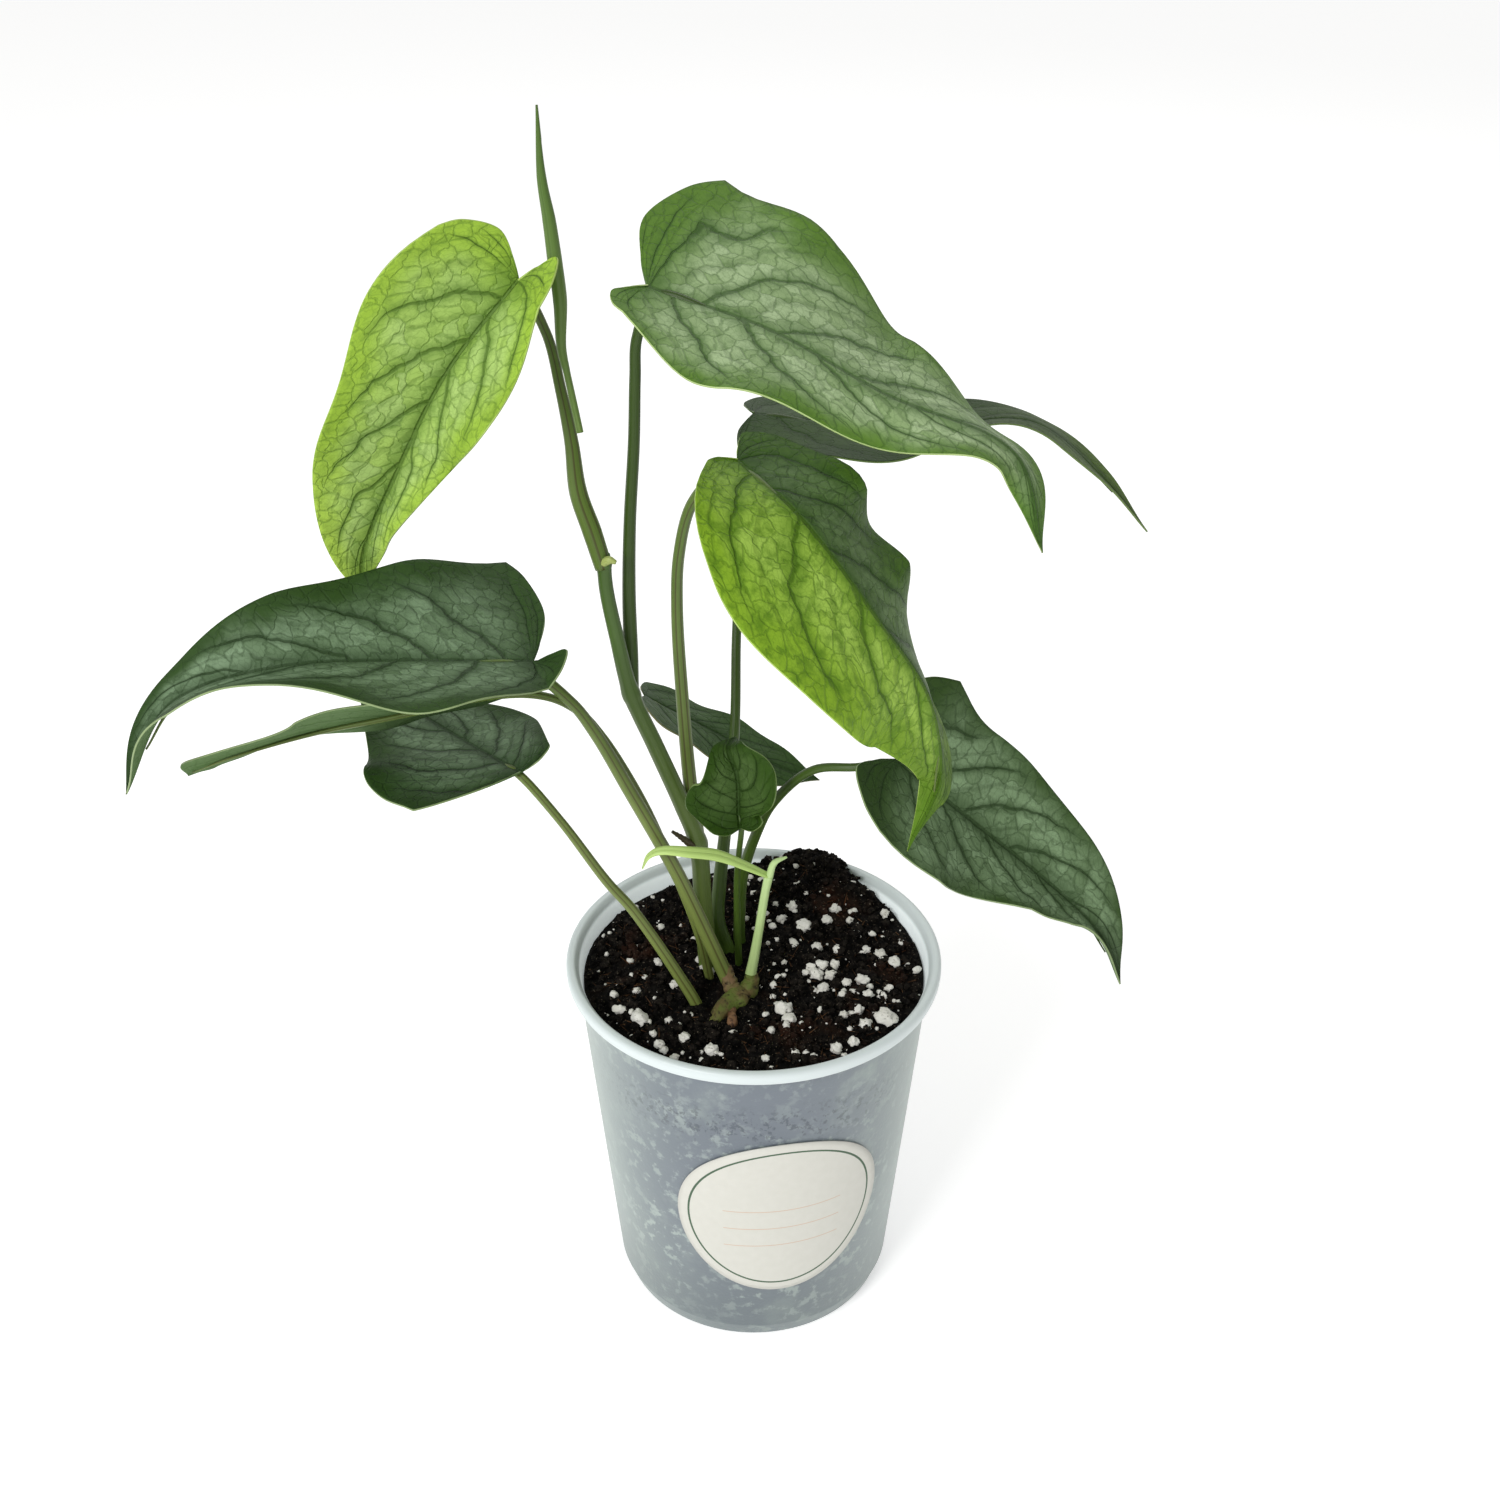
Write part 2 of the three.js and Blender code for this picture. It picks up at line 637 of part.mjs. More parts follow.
function soilBody() {
  const lowest = POT.floor + GAP;
  const position = [];
  const index = [];
  const { rings, sectors } = SOIL;
  const edge = wallRadius(SOIL.edgeHeight) - POT.wall - GAP;
  const foot = POT.wallBottomRadius - POT.wall - GAP;
  position.push(0, 0, soilHeight(0, 0));
  for (let ring = 1; ring <= rings; ring++) {
    for (let i = 0; i < sectors; i++) {
      const angle = (i / sectors) * 2 * Math.PI;
      const x = edge * ring / rings * Math.cos(angle);
      const y = edge * ring / rings * Math.sin(angle);
      position.push(x, y, soilHeight(x, y));
    }
  }
  const levels = [[foot, POT.footHeight], [POT.footRadius - 1.2, lowest]];
  for (const [r, z] of levels) {
    for (let i = 0; i < sectors; i++) {
      const angle = (i / sectors) * 2 * Math.PI;
      position.push(r * Math.cos(angle), r * Math.sin(angle), z);
    }
  }
  const last = position.length / 3;
  position.push(0, 0, lowest);
  for (let i = 0; i < sectors; i++) {
    const next = (i + 1) % sectors;
    index.push(0, 1 + i, 1 + next);
    for (let ring = 0; ring < rings + levels.length - 1; ring++) {
      const a = 1 + ring * sectors;
      const b = a + sectors;
      index.push(a + i, b + i, b + next, a + i, b + next, a + next);
    }
    const a = 1 + (rings + levels.length - 1) * sectors;
    index.push(last, a + next, a + i);
  }
  const geometry = new THREE.BufferGeometry();
  geometry.setAttribute('position', new THREE.Float32BufferAttribute(position, 3));
  geometry.setIndex(index);
  return toSolid(geometry);
}

function soilLumps() {
  const random = randomNumbers(SOIL.seed);
  const lumps = [];
  const reach = wallRadius(SOIL.edgeHeight) - POT.wall - GAP - SOIL.lumpMax - 1;
  for (let i = 0; i < SOIL.lumps; i++) {
    const radius = THREE.MathUtils.lerp(SOIL.lumpMin, SOIL.lumpMax, random() ** 2);
    const angle = random() * 2 * Math.PI;
    const distance = reach * Math.sqrt(random());
    const x = distance * Math.cos(angle);
    const y = distance * Math.sin(angle);
    const lump = new THREE.IcosahedronGeometry(radius, 0);
    lump.scale(1, 0.8 + 0.4 * random(), 0.7 + 0.3 * random());
    lump.rotateX(random() * 3);
    lump.rotateZ(random() * 6);
    lump.translate(x, y, soilHeight(x, y) + radius * 0.2);
    lumps.push(toSolid(lump));
  }
  return lumps;
}

// The plant

// A stalk and the rib that it runs out into, which lies along the underside of the
// blade and thins towards the tip.
function stalkSolid(name, grow) {
  const leaf = LEAVES[name];
  const stalk = STALKS[name];
  const curve = new THREE.CatmullRomCurve3(vectors(leaf.midrib), false, 'centripetal');
  const points = [...stalk.points];
  const radii = [...stalk.radii];
  for (const [share, thinned] of RIB) {
    const tangent = curve.getTangentAt(share);
    const up = heading(leaf.faces[0]).lerp(heading(leaf.faces[1]), share);
    up.addScaledVector(tangent, -up.dot(tangent)).normalize();
    const radius = thinned * stalk.radii.at(-1);
    points.push(curve.getPointAt(share).addScaledVector(up, -radius - 0.1).toArray());
    radii.push(radius);
  }
  return bentRod(points, radii, { sides: stalk.sides ?? 6, grow });
}

function vineSolid(grow) {
  const parts = [bentRod(VINE.points, VINE.radii, { sides: 8, grow })];
  for (const [x, y, z, radius] of VINE.nodes) {
    const ring = new THREE.SphereGeometry(radius + grow, 8, 5);
    ring.scale(1, 1, 0.6);
    ring.translate(x, y, z);
    parts.push(toSolid(ring));
  }
  for (const stub of VINE.stubs) {
    parts.push(bentRod(stub.points, stub.radii, { sides: 5, grow }));
  }
  return joined(parts);
}

function cuttingSolid(grow) {
  const parts = [
    bentRod(CUTTING.points, CUTTING.radii, { sides: 8, grow }),
    bentRod(CUTTING.cutEnd.points, CUTTING.cutEnd.radii, { sides: 8, grow }),
    bentRod(CUTTING.root.points, CUTTING.root.radii, { sides: 5, grow }),
  ];
  return joined(parts);
}

function shootSolid(grow) {
  return joined([
    bentRod(SHOOT.points, SHOOT.radii, { grow }),
    bentRod(SHOOT.hook.points, SHOOT.hook.radii, { sides: 5, grow }),
    bentRod(PALE_LEAF.points, PALE_LEAF.radii, { grow }),
  ]);
}

const group = new THREE.Group();

function addPiece(name, solid, color, roughness) {
  const material = new THREE.MeshStandardMaterial({ color, roughness, metalness: 0 });
  const mesh = new THREE.Mesh(toGeometry(solid), material);
  mesh.name = name;
  group.add(mesh);
}

const vineRoom = vineSolid(GAP);
const cuttingRoom = cuttingSolid(GAP);
const stemRooms = [vineRoom, cuttingRoom];
for (const name of Object.keys(LEAVES)) {
  stemRooms.push(stalkSolid(name, GAP));
}
const soil = largestBody(stemRooms.reduce(
  (left, room) => left.subtract(room),
  joined([soilBody(), ...soilLumps()]),
));

addPiece('pot', potSolid(), 0xb9bfc9, 0.35);
addPiece('label', labelSolid(), 0xe3ddd2, 0.6);
addPiece('soil', soil, 0x2e2622, 0.95);
addPiece('vine', vineSolid(0), VINE.color, 0.5);
addPiece('cutting', largestBody(cuttingSolid(0).subtract(vineRoom)), CUTTING.color, 0.7);
addPiece('shoot', largestBody(shootSolid(0).subtract(cuttingRoom)), SHOOT.color, 0.5);
for (const [name, leaf] of Object.entries(LEAVES)) {
  const whole = bladeSolid(leaf, BLADE.thickness).add(stalkSolid(name, 0));
  const clear = whole.subtract(vineRoom).subtract(cuttingRoom);
  addPiece(`leaf_${name}`, largestBody(clear), leaf.color, 0.45);
}
const newLeaf = bentRod(NEW_LEAF.points, NEW_LEAF.radii, { sides: 9 });
const newLeafClear = newLeaf.subtract(stalkSolid('upper_left', GAP));
addPiece('leaf_rolled', largestBody(newLeafClear), NEW_LEAF.color, 0.45);

export default group;
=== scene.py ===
# %% [markdown]
# # A potted climbing aroid, dressed for its portrait
# The solids of this plant come from the CAD model: a tapered plastic grower's pot, soil, a vine and
# ten heart-shaped leaves. They have the right places and sizes but plain skins. Each cell below
# swaps one of them for a finer piece of the same form, or gives it a finish. Everything is in
# metres, with the origin at the centre of the pot's base.

# %% Load the frame
import bpy
import bmesh
import bisect
import math
import random
from mathutils import Matrix, Vector, noise


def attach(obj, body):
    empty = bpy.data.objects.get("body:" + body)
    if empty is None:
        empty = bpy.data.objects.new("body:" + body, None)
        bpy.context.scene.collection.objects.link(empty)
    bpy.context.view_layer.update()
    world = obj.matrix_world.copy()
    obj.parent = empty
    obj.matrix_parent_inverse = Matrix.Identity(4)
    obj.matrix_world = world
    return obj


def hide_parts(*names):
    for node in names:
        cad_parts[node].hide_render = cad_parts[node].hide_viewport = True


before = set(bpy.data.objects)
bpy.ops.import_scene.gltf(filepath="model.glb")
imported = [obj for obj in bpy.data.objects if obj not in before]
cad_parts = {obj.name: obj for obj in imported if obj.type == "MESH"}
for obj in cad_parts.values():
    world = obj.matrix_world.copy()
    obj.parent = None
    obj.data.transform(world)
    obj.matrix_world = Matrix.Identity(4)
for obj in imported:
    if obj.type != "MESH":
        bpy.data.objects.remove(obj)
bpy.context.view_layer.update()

MM = 0.001

# %% [markdown]
# ## Camera
# The photograph looks down on the plant at about 32 degrees, from half a metre in front and half a
# metre up. The lens was worked out from the round rim of the pot: its ellipse gives the tilt, and
# the way the pot narrows towards its base gives the distance. A 48 mm lens on a 36 mm sensor
# matches both.

# %% Camera
camera_data = bpy.data.cameras.new("portrait_camera")
camera_data.lens = 48
camera_data.sensor_width = 36
camera_data.clip_start = 0.01
camera = bpy.data.objects.new("portrait_camera", camera_data)
camera.location = (-1.2 * MM, -512.2 * MM, 516.5 * MM)
camera.rotation_euler = (math.radians(90 - 31.55), 0, 0)
bpy.context.collection.objects.link(camera)
bpy.context.scene.camera = camera
print("camera at", [round(value, 3) for value in camera.location])

# %% [markdown]
# ## Floor and light
# Thin leaves show their veins best under broad, even light, so a white sky does most of the work. A
# soft lamp at the front left gives the leaves a lit side and a shaded side, and a weaker one behind
# shows their edges. The floor is one plain pale plane that glows a little, so that it stays white
# under the pot.

# %% Floor and light
bpy.context.scene.view_settings.view_transform = "Standard"
floor_mesh = bpy.data.meshes.new("floor")
floor_bm = bmesh.new()
bmesh.ops.create_grid(floor_bm, x_segments=1, y_segments=1, size=6)
floor_bm.to_mesh(floor_mesh)
floor_bm.free()
floor = bpy.data.objects.new("floor", floor_mesh)
bpy.context.collection.objects.link(floor)
floor_paint = bpy.data.materials.new("pale_floor")
floor_paint.use_nodes = True
floor_shader = floor_paint.node_tree.nodes["Principled BSDF"]
floor_shader.inputs["Base Color"].default_value = (0.9, 0.9, 0.89, 1)
floor_shader.inputs["Roughness"].default_value = 0.9
floor_shader.inputs["Emission Color"].default_value = (1, 1, 1, 1)
floor_shader.inputs["Emission Strength"].default_value = 0.42
floor_mesh.materials.append(floor_paint)

sky = bpy.data.worlds.new("white_sky")
sky.use_nodes = True
sky_light = sky.node_tree.nodes["Background"]
sky_light.inputs["Color"].default_value = (1, 1, 1, 1)
sky_light.inputs["Strength"].default_value = 0.56
bpy.context.scene.world = sky


def softbox(name, place, target, size, power):
    """A square lamp at one place, turned to face another."""
    lamp = bpy.data.lights.new(name, "AREA")
    lamp.size = size
    lamp.energy = power
    holder = bpy.data.objects.new(name, lamp)
    holder.location = place
    holder.rotation_euler = (Vector(target) - Vector(place)).to_track_quat("-Z", "Y").to_euler()
    bpy.context.collection.objects.link(holder)


softbox("key_lamp", (-0.75, -1.1, 1.0), (0, 0, 0.2), 0.6, 15)
softbox("back_lamp", (0.3, 1.0, 1.1), (0, 0, 0.25), 0.9, 3)
print("floor and two lamps are ready")

# %% [markdown]
# ## Small helpers for materials
# Every finish here is drawn by nodes, with no picture files. Adding a node takes three lines each
# time, so a small class holds one material and adds its nodes, with the inputs plugged in order.
# Colours are easier to think of as 0 to 255 numbers, and the shader wants them linear, so a helper
# converts them.

# %% Material helpers
def paint(colour):
    """Makes a colour of 0 to 255 numbers linear. A colour that comes out of a node stays as it is."""
    if isinstance(colour, bpy.types.NodeSocket):
        return colour
    return tuple((part / 255) ** 2.2 for part in colour) + (1,)


class Finish:
    """A material that is built up node by node."""

    def __init__(self, name, roughness, specular=0.4):
        self.material = bpy.data.materials.new(name)
        self.material.use_nodes = True
        self.tree = self.material.node_tree
        self.shader = self.tree.nodes["Principled BSDF"]
        self.put("Roughness", roughness)
        self.put("Specular IOR Level", specular)

    def put(self, name, value):
        """Gives one input of the shader a value, or plugs an output into it."""
        if isinstance(value, bpy.types.NodeSocket):
            self.tree.links.new(value, self.shader.inputs[name])
        else:
            self.shader.inputs[name].default_value = value

    def node(self, kind, *inputs, output=0, **options):
        """Adds a node, sets its options, fills its inputs in order and returns one of its outputs."""
        made = self.tree.nodes.new("ShaderNode" + kind)
        for option, value in options.items():
            setattr(made, option, value)
        for socket, value in zip(made.inputs, inputs):
            if isinstance(value, bpy.types.NodeSocket):
                self.tree.links.new(value, socket)
            elif value is not None:
                socket.default_value = value
        return made.outputs[output]

    def calc(self, operation, *inputs):
        """One step of arithmetic."""
        return self.node("Math", *inputs, operation=operation)

    def plus(self, first, second):
        return self.calc("ADD", first, second)

    def minus(self, first, second):
        return self.calc("SUBTRACT", first, second)

    def times(self, first, *others):
        for other in others:
            first = self.calc("MULTIPLY", first, other)
        return first

    def most(self, first, *others):
        """The largest of some values."""
        for other in others:
            first = self.calc("MAXIMUM", first, other)
        return first

    def axis(self, vector, letter):
        """One of the three numbers of a vector."""
        return self.node("SeparateXYZ", vector, output=letter)

    def size_of(self, vector):
        """The length of a vector."""
        return self.node("VectorMath", vector, operation="LENGTH", output="Value")

    def fade(self, value, start, end, low=0.0, high=1.0):
        """low at start, high at end, and a smooth change between them."""
        return self.node("MapRange", value, start, end, low, high, interpolation_type="SMOOTHSTEP")

    def mix(self, amount, first, second):
        """The first colour where amount is 0, the second where it is 1."""
        return self.node("MixRGB", amount, paint(first), paint(second))

    def grain(self, coordinates, scale, detail=3.0, roughness=0.5, stretch=None):
        """Noise of that many waves a metre, from 0 to 1."""
        if stretch:
            coordinates = self.node("Mapping", coordinates, (0, 0, 0), (0, 0, 0), stretch)
        return self.node("TexNoise", coordinates, None, scale, detail, roughness)

    def wander(self, coordinates, scale, reach):
        """Noise about 0 that goes up to half that reach either way."""
        return self.times(self.minus(self.grain(coordinates, scale, 3), 0.5), reach)

    def relief(self, height, distance, strength=1.0):
        """Raises the surface by up to that distance, in metres, where height is 1."""
        bump = self.tree.nodes.new("ShaderNodeBump")
        bump.inputs["Strength"].default_value = strength
        bump.inputs["Distance"].default_value = distance
        self.tree.links.new(height, bump.inputs["Height"])
        self.put("Normal", bump.outputs["Normal"])


print("material helpers are ready")

# %% [markdown]
# ## Small helpers for shapes
# A bmesh is the workshop: an operator makes the first shape there, other operators change it, and
# it is then stored in an object. The helper below stores it, puts its finishes on, lets it ride on
# the plant's one body, and hides the CAD solid it stands for.

# %% Shape helpers
def to_piece(name, bm, finishes, cad_node, smooth=True):
    """Stores a bmesh as a piece that replaces a CAD node."""
    mesh = bpy.data.meshes.new(name)
    for face in bm.faces:
        face.smooth = smooth
    bm.to_mesh(mesh)
    bm.free()
    for finish in finishes:
        mesh.materials.append(finish)
    piece = bpy.data.objects.new(name, mesh)
    bpy.context.collection.objects.link(piece)
    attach(piece, "root")
    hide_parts(cad_node)
    return piece


def lerp(first, second, share):
    return first + (second - first) * share


def step_between(values, share):
    """Reads a short list of numbers at a share of its length."""
    place = max(0.0, min(1.0, share)) * (len(values) - 1)
    row = min(int(place), len(values) - 2)
    return lerp(values[row], values[row + 1], place - row)


class Path:
    """A smooth line through a few points, each given in millimetres."""

    def __init__(self, points):
        self.points = [Vector(point) * MM for point in points]
        marks = [self.at(row / 200) for row in range(201)]
        self.lengths = [0.0]
        for before, after in zip(marks, marks[1:]):
            self.lengths.append(self.lengths[-1] + (after - before).length)
        self.length = self.lengths[-1]
        self.stations = None

    def at(self, share):
        """The point at a share of the control points."""
        last = len(self.points) - 1
        place = max(0.0, min(1.0, share)) * last
        row = min(int(place), last - 1)
        p1, p2 = self.points[row], self.points[row + 1]
        p0 = self.points[row - 1] if row > 0 else p1 * 2 - p2
        p3 = self.points[row + 2] if row + 2 <= last else p2 * 2 - p1
        d0, d1, d2 = ((b - a).length ** 0.5 for a, b in ((p0, p1), (p1, p2), (p2, p3)))
        t1 = ((p1 - p0) / d0 - (p2 - p0) / (d0 + d1) + (p2 - p1) / d1) * d1
        t2 = ((p2 - p1) / d1 - (p3 - p1) / (d1 + d2) + (p3 - p2) / d2) * d1
        t = place - row
        return p1 + t1 * t + (p2 * 3 - p1 * 3 - t1 * 2 - t2) * t ** 2 + (p1 * 2 - p2 * 2 + t1 + t2) * t ** 3

    def share_at(self, part):
        """Turns a share of the length into a share of the control points."""
        wanted = max(0.0, min(1.0, part)) * self.length
        row = max(1, min(200, bisect.bisect_left(self.lengths, wanted)))
        gap = self.lengths[row] - self.lengths[row - 1]
        return (row - 1 + (wanted - self.lengths[row - 1]) / max(gap, 1e-9)) / 200

    def direction(self, share):
        return (self.at(min(1, share + 0.001)) - self.at(max(0, share - 0.001))).normalized()

    def place(self, part):
        """Point and direction at a share of the length, read between 300 stations."""
        if not self.stations:
            shares = [self.share_at(row / 300) for row in range(301)]
            self.stations = [(self.at(share), self.direction(share)) for share in shares]
        spot = max(0.0, min(1.0, part)) * 300
        row = min(int(spot), 299)
        (point, ahead), (next_point, next_ahead) = self.stations[row], self.stations[row + 1]
        return point.lerp(next_point, spot - row), ahead.lerp(next_ahead, spot - row).normalized()


print("a test path is", round(Path([(0, 0, 0), (0, 0, 50), (0, 20, 90)]).length * 1000, 1), "mm long")

# %% [markdown]
# ## Rods: stalks, stems, shoots
# A stalk could be a curve with a round bevel, but real stalks have a channel along the top and
# swell at their ends. So each rod starts as one small disc, and its face is extruded again and
# again along the path. After every step the new corners are set to the radius and cross-section
# wanted there.

# %% Rods
def rod(name, points, radii, finish, cad_node, sides=14, steps=60, up=(0, -0.3, 1), section=None):
    """A rod along a path. section(share, angle) scales its radius; angle 0 is its upper side."""
    path = Path(points)
    bm = bmesh.new()
    around = bm.loops.layers.uv.new("around")
    spin = bm.verts.layers.float.new("spin")
    travel = bm.verts.layers.float.new("travel")
    ring = bmesh.ops.create_circle(bm, cap_ends=True, radius=1, segments=sides)["verts"]
    for vert in ring:
        vert[spin] = math.atan2(vert.co.y, vert.co.x)
    face = bm.faces[:][0]
    side_way = None
    for row in range(steps + 1):
        share = row / steps
        if row:
            left_behind = face
            grown = bmesh.ops.extrude_face_region(bm, geom=[face])["geom"]
            face = next(item for item in grown if isinstance(item, bmesh.types.BMFace))
            ring = [item for item in grown if isinstance(item, bmesh.types.BMVert)]
        if row > 1 and left_behind.is_valid:
            bmesh.ops.delete(bm, geom=[left_behind], context="FACES_ONLY")
        ahead = path.direction(share)
        reference = Vector(up) if side_way is None else ahead.cross(side_way).normalized()
        top = (reference - ahead * reference.dot(ahead)).normalized()
        side_way = top.cross(ahead).normalized()
        if row:
            top = ahead.cross(side_way).normalized()
            top = top if top.dot(reference) > 0 else -top
        centre = path.at(share)
        radius = step_between(radii, share) * MM
        for vert in ring:
            angle = vert[spin]
            scale = section(share, angle) if section else 1.0
            vert[travel] = share * path.length
            vert.co = centre + (top * math.cos(angle) + side_way * math.sin(angle)) * radius * scale
    bmesh.ops.poke(bm, faces=[face])
    bm.normal_update()
    for one in bm.faces:
        turns = [(loop.vert[spin] / math.tau) % 1 for loop in one.loops]
        wraps = max(turns) - min(turns) > 0.5
        for loop, turn in zip(one.loops, turns):
            loop[around].uv = (turn + 1 if wraps and turn < 0.5 else turn, loop.vert[travel])
    bmesh.ops.recalc_face_normals(bm, faces=bm.faces)
    return to_piece(name, bm, [finish], cad_node)


def disc_bmesh(radius, rings, sectors, first=0.012):
    """A flat disc, in mm, grown ring by ring out of a small circle."""
    bm = bmesh.new()
    bmesh.ops.create_circle(bm, cap_ends=True, segments=sectors, radius=first * radius)
    edges = [edge for edge in bm.edges if edge.is_boundary]
    for ring in range(rings):
        grown = bmesh.ops.extrude_edge_only(bm, edges=edges)["geom"]
        edges = [item for item in grown if isinstance(item, bmesh.types.BMEdge) and item.is_boundary]
        verts = [item for item in grown if isinstance(item, bmesh.types.BMVert)]
        scale = radius * lerp(first, 1, (ring + 1) / rings) / verts[0].co.length
        bmesh.ops.scale(bm, vec=(scale, scale, scale), verts=verts)
    return bm, edges


def channelled(depth, width=0.55):
    """A cross-section with a shallow channel along its upper side."""
    return lambda share, angle: 1 - depth * math.exp(-(angle / width) ** 2)


print("rod helper is ready")

# %% [markdown]
# ## Pot
# The pot is a tapered cup of frosted plastic with a rolled rim and a narrow foot, moulded in one
# piece. It is the same all the way round, so its profile is drawn once and spun about the middle,
# and the drainage holes are cut through the floor with a Boolean modifier. The profile keeps the
# CAD's sizes; only the corners get finer.

# %% Pot shape
POT_PROFILE = [
    (43, 1.6), (43.6, 3.2), (44.9, 5.6), (50.1, 63), (55.3, 121), (55.6, 122.6), (56.3, 124.3),
    (57, 125.4), (57.4, 125.85), (57.9, 126), (58.8, 126), (59.4, 125.75), (59.85, 125.25),
    (60, 124.6), (60, 123), (59.8, 122.4), (59.4, 122.1), (57, 122), (56.5, 121.8), (56.35, 121.2),
    (51.2, 63), (46.1, 6.2), (45.75, 5.3), (44.2, 0.9), (43.9, 0.25), (43.4, 0),
]
HOLES = 6
HOLE_RADIUS = 4
HOLE_RING = 28
POT_SECTORS = 144


def wall_radius(z):
    """The outer radius of the wall, in mm, at a height in mm."""
    return lerp(46.0, 56.4, (z - 5.6) / (122.0 - 5.6))


pot_bm = bmesh.new()
profile = [pot_bm.verts.new((radius * MM, 0, z * MM)) for radius, z in POT_PROFILE]
edges = [pot_bm.edges.new(pair) for pair in zip(profile, profile[1:])]
bmesh.ops.spin(pot_bm, geom=profile + edges, cent=(0, 0, 0), axis=(0, 0, 1), angle=math.tau,
               steps=POT_SECTORS, use_merge=True)
bmesh.ops.remove_doubles(pot_bm, verts=pot_bm.verts, dist=1e-7)
open_edges = [edge for edge in pot_bm.edges if edge.is_boundary]
bmesh.ops.holes_fill(pot_bm, edges=open_edges, sides=0)
bmesh.ops.recalc_face_normals(pot_bm, faces=pot_bm.faces)

drill_bm = bmesh.new()
for number in range(HOLES):
    turn = math.tau * number / HOLES
    place = Matrix.Translation((HOLE_RING * MM * math.cos(turn), HOLE_RING * MM * math.sin(turn), 0))
    bmesh.ops.create_cone(drill_bm, cap_ends=True, segments=32, radius1=HOLE_RADIUS * MM,
                          radius2=HOLE_RADIUS * MM, depth=0.01, matrix=place)
drill_mesh = bpy.data.meshes.new("drill")
drill_bm.to_mesh(drill_mesh)
drill_bm.free()
drill = bpy.data.objects.new("drill", drill_mesh)
bpy.context.collection.objects.link(drill)
print("pot profile spun into", len(pot_bm.faces), "faces")

# %% [markdown]
# The plastic is milky and thin, so the dark soil behind it turns the wall a bluish grey, and pale
# grains that touch it show as soft white flecks. Real see-through plastic would need light to pass
# two walls and the soil, which is slow and grainy. What is seen is painted instead: grey on the
# wall, darker towards the foot, a nearly white rim, and flecks and a band of dark crumbs from noise.
# The inside of the wall above the soil is painted nearly white and glows a little, a painted light
# that stands for light shining through the thin plastic. The sides are painted lighter where they
# turn away, a painted sheen, and the shader adds a soft sheen of its own, as frosted plastic has.

# %% Pot finish
def pot_finish():
    skin = Finish("frosted_plastic", 0.38, 0.45)
    place = skin.node("TexCoord", output="Object")
    z = skin.axis(place, "Z")
    tint = skin.mix(skin.grain(place, 28, 2), (93, 101, 110), (112, 119, 128))
    tint = skin.mix(skin.fade(skin.grain(place, 60, 4, 0.6), 0.5, 0.75), tint, (128, 138, 138))
    flecks = skin.fade(skin.grain(place, 230, 5, 0.62), 0.51, 0.62)
    some = skin.fade(skin.grain(place, 48, 3), 0.4, 0.6, 0.35, 1.0)
    lower = skin.fade(z, 0.085, 0.03, 0.5, 1.0)
    tint = skin.mix(skin.times(flecks, some, lower, 0.62), tint, (184, 197, 188))
    band = skin.times(skin.fade(z, 0.088, 0.098), skin.fade(z, 0.112, 0.102))
    crumbs = skin.fade(skin.grain(place, 420, 3, 0.7), 0.52, 0.62)
    tint = skin.mix(skin.times(crumbs, band, 0.7), tint, (64, 70, 80))
    # Painted sheen: the wall is painted lighter where it turns away from the view, as frosted plastic looks
    # at its sides.
    sides = skin.node("LayerWeight", 0.5, output="Facing")
    tint = skin.mix(skin.fade(sides, 0.3, 0.95, 0.0, 0.7), tint, (152, 165, 158))
    tint = skin.mix(skin.fade(z, 0.05, 0.005, 0.0, 0.5), tint, (78, 88, 92))
    tint = skin.mix(skin.fade(z, 0.1212, 0.1224), tint, (206, 215, 215))
    # Painted light: the inside of the wall above the soil is painted nearly white and made to glow, for
    # light shining through the thin plastic.
    from_middle = skin.size_of(skin.node("VectorMath", place, (1, 1, 0), operation="MULTIPLY"))
    slope = (wall_radius(100) - wall_radius(0)) / 100
    depth = skin.minus(skin.plus(wall_radius(0) * MM, skin.times(z, slope)), from_middle)
    painted_light_through = skin.times(skin.fade(z, 0.112, 0.118), skin.fade(depth, 0.0003, 0.0008))
    tint = skin.mix(painted_light_through, tint, (222, 230, 230))
    skin.put("Base Color", tint)
    skin.put("Emission Color", (0.86, 0.93, 0.93, 1))
    skin.put("Emission Strength", skin.times(painted_light_through, 0.3))
    skin.put("Sheen Weight", 0.2)
    skin.put("Sheen Roughness", 0.35)
    skin.put("Sheen Tint", (0.85, 0.95, 0.9, 1))
    skin.relief(skin.grain(place, 900, 2), 0.00006)
    return skin.material


pot = to_piece("pot_shell", pot_bm, [pot_finish()], "pot")
cut = pot.modifiers.new("drainage", "BOOLEAN")
cut.operation = "DIFFERENCE"
cut.solver = "EXACT"
cut.object = drill
bpy.context.view_layer.update()
drilled = bpy.data.meshes.new_from_object(pot.evaluated_get(bpy.context.evaluated_depsgraph_get()))
pot.modifiers.clear()
pot.data = drilled
bpy.data.objects.remove(drill)
drilled.set_sharp_from_angle(angle=math.radians(35))
print("pot has", len(drilled.polygons), "faces after drilling")

# %% [markdown]
# ## Label
# A round paper sticker is wrapped on the front of the pot. Paper has no stretch, so points on a
# flat disc are laid on the wall by their distance round it. It is left as a plain write-on label: a
# thin border and a few ruled lines.

# %% Label
LABEL_CENTRE = 59.0
LABEL_TURN = 10.5
LABEL_RADIUS = 34.0
LABEL_THICKNESS = 0.35
BORDER_RADIUS = 30.3
ROW_GAP = 4.0


def on_wall(x, z):
    """A point of the flat label, in mm, laid on the pot's wall."""
    height = LABEL_CENTRE + z
    radius = wall_radius(height) + 0.45
    angle = math.radians(LABEL_TURN - 90) + x / wall_radius(LABEL_CENTRE)
    return Vector((radius * math.cos(angle), radius * math.sin(angle), height)) * MM


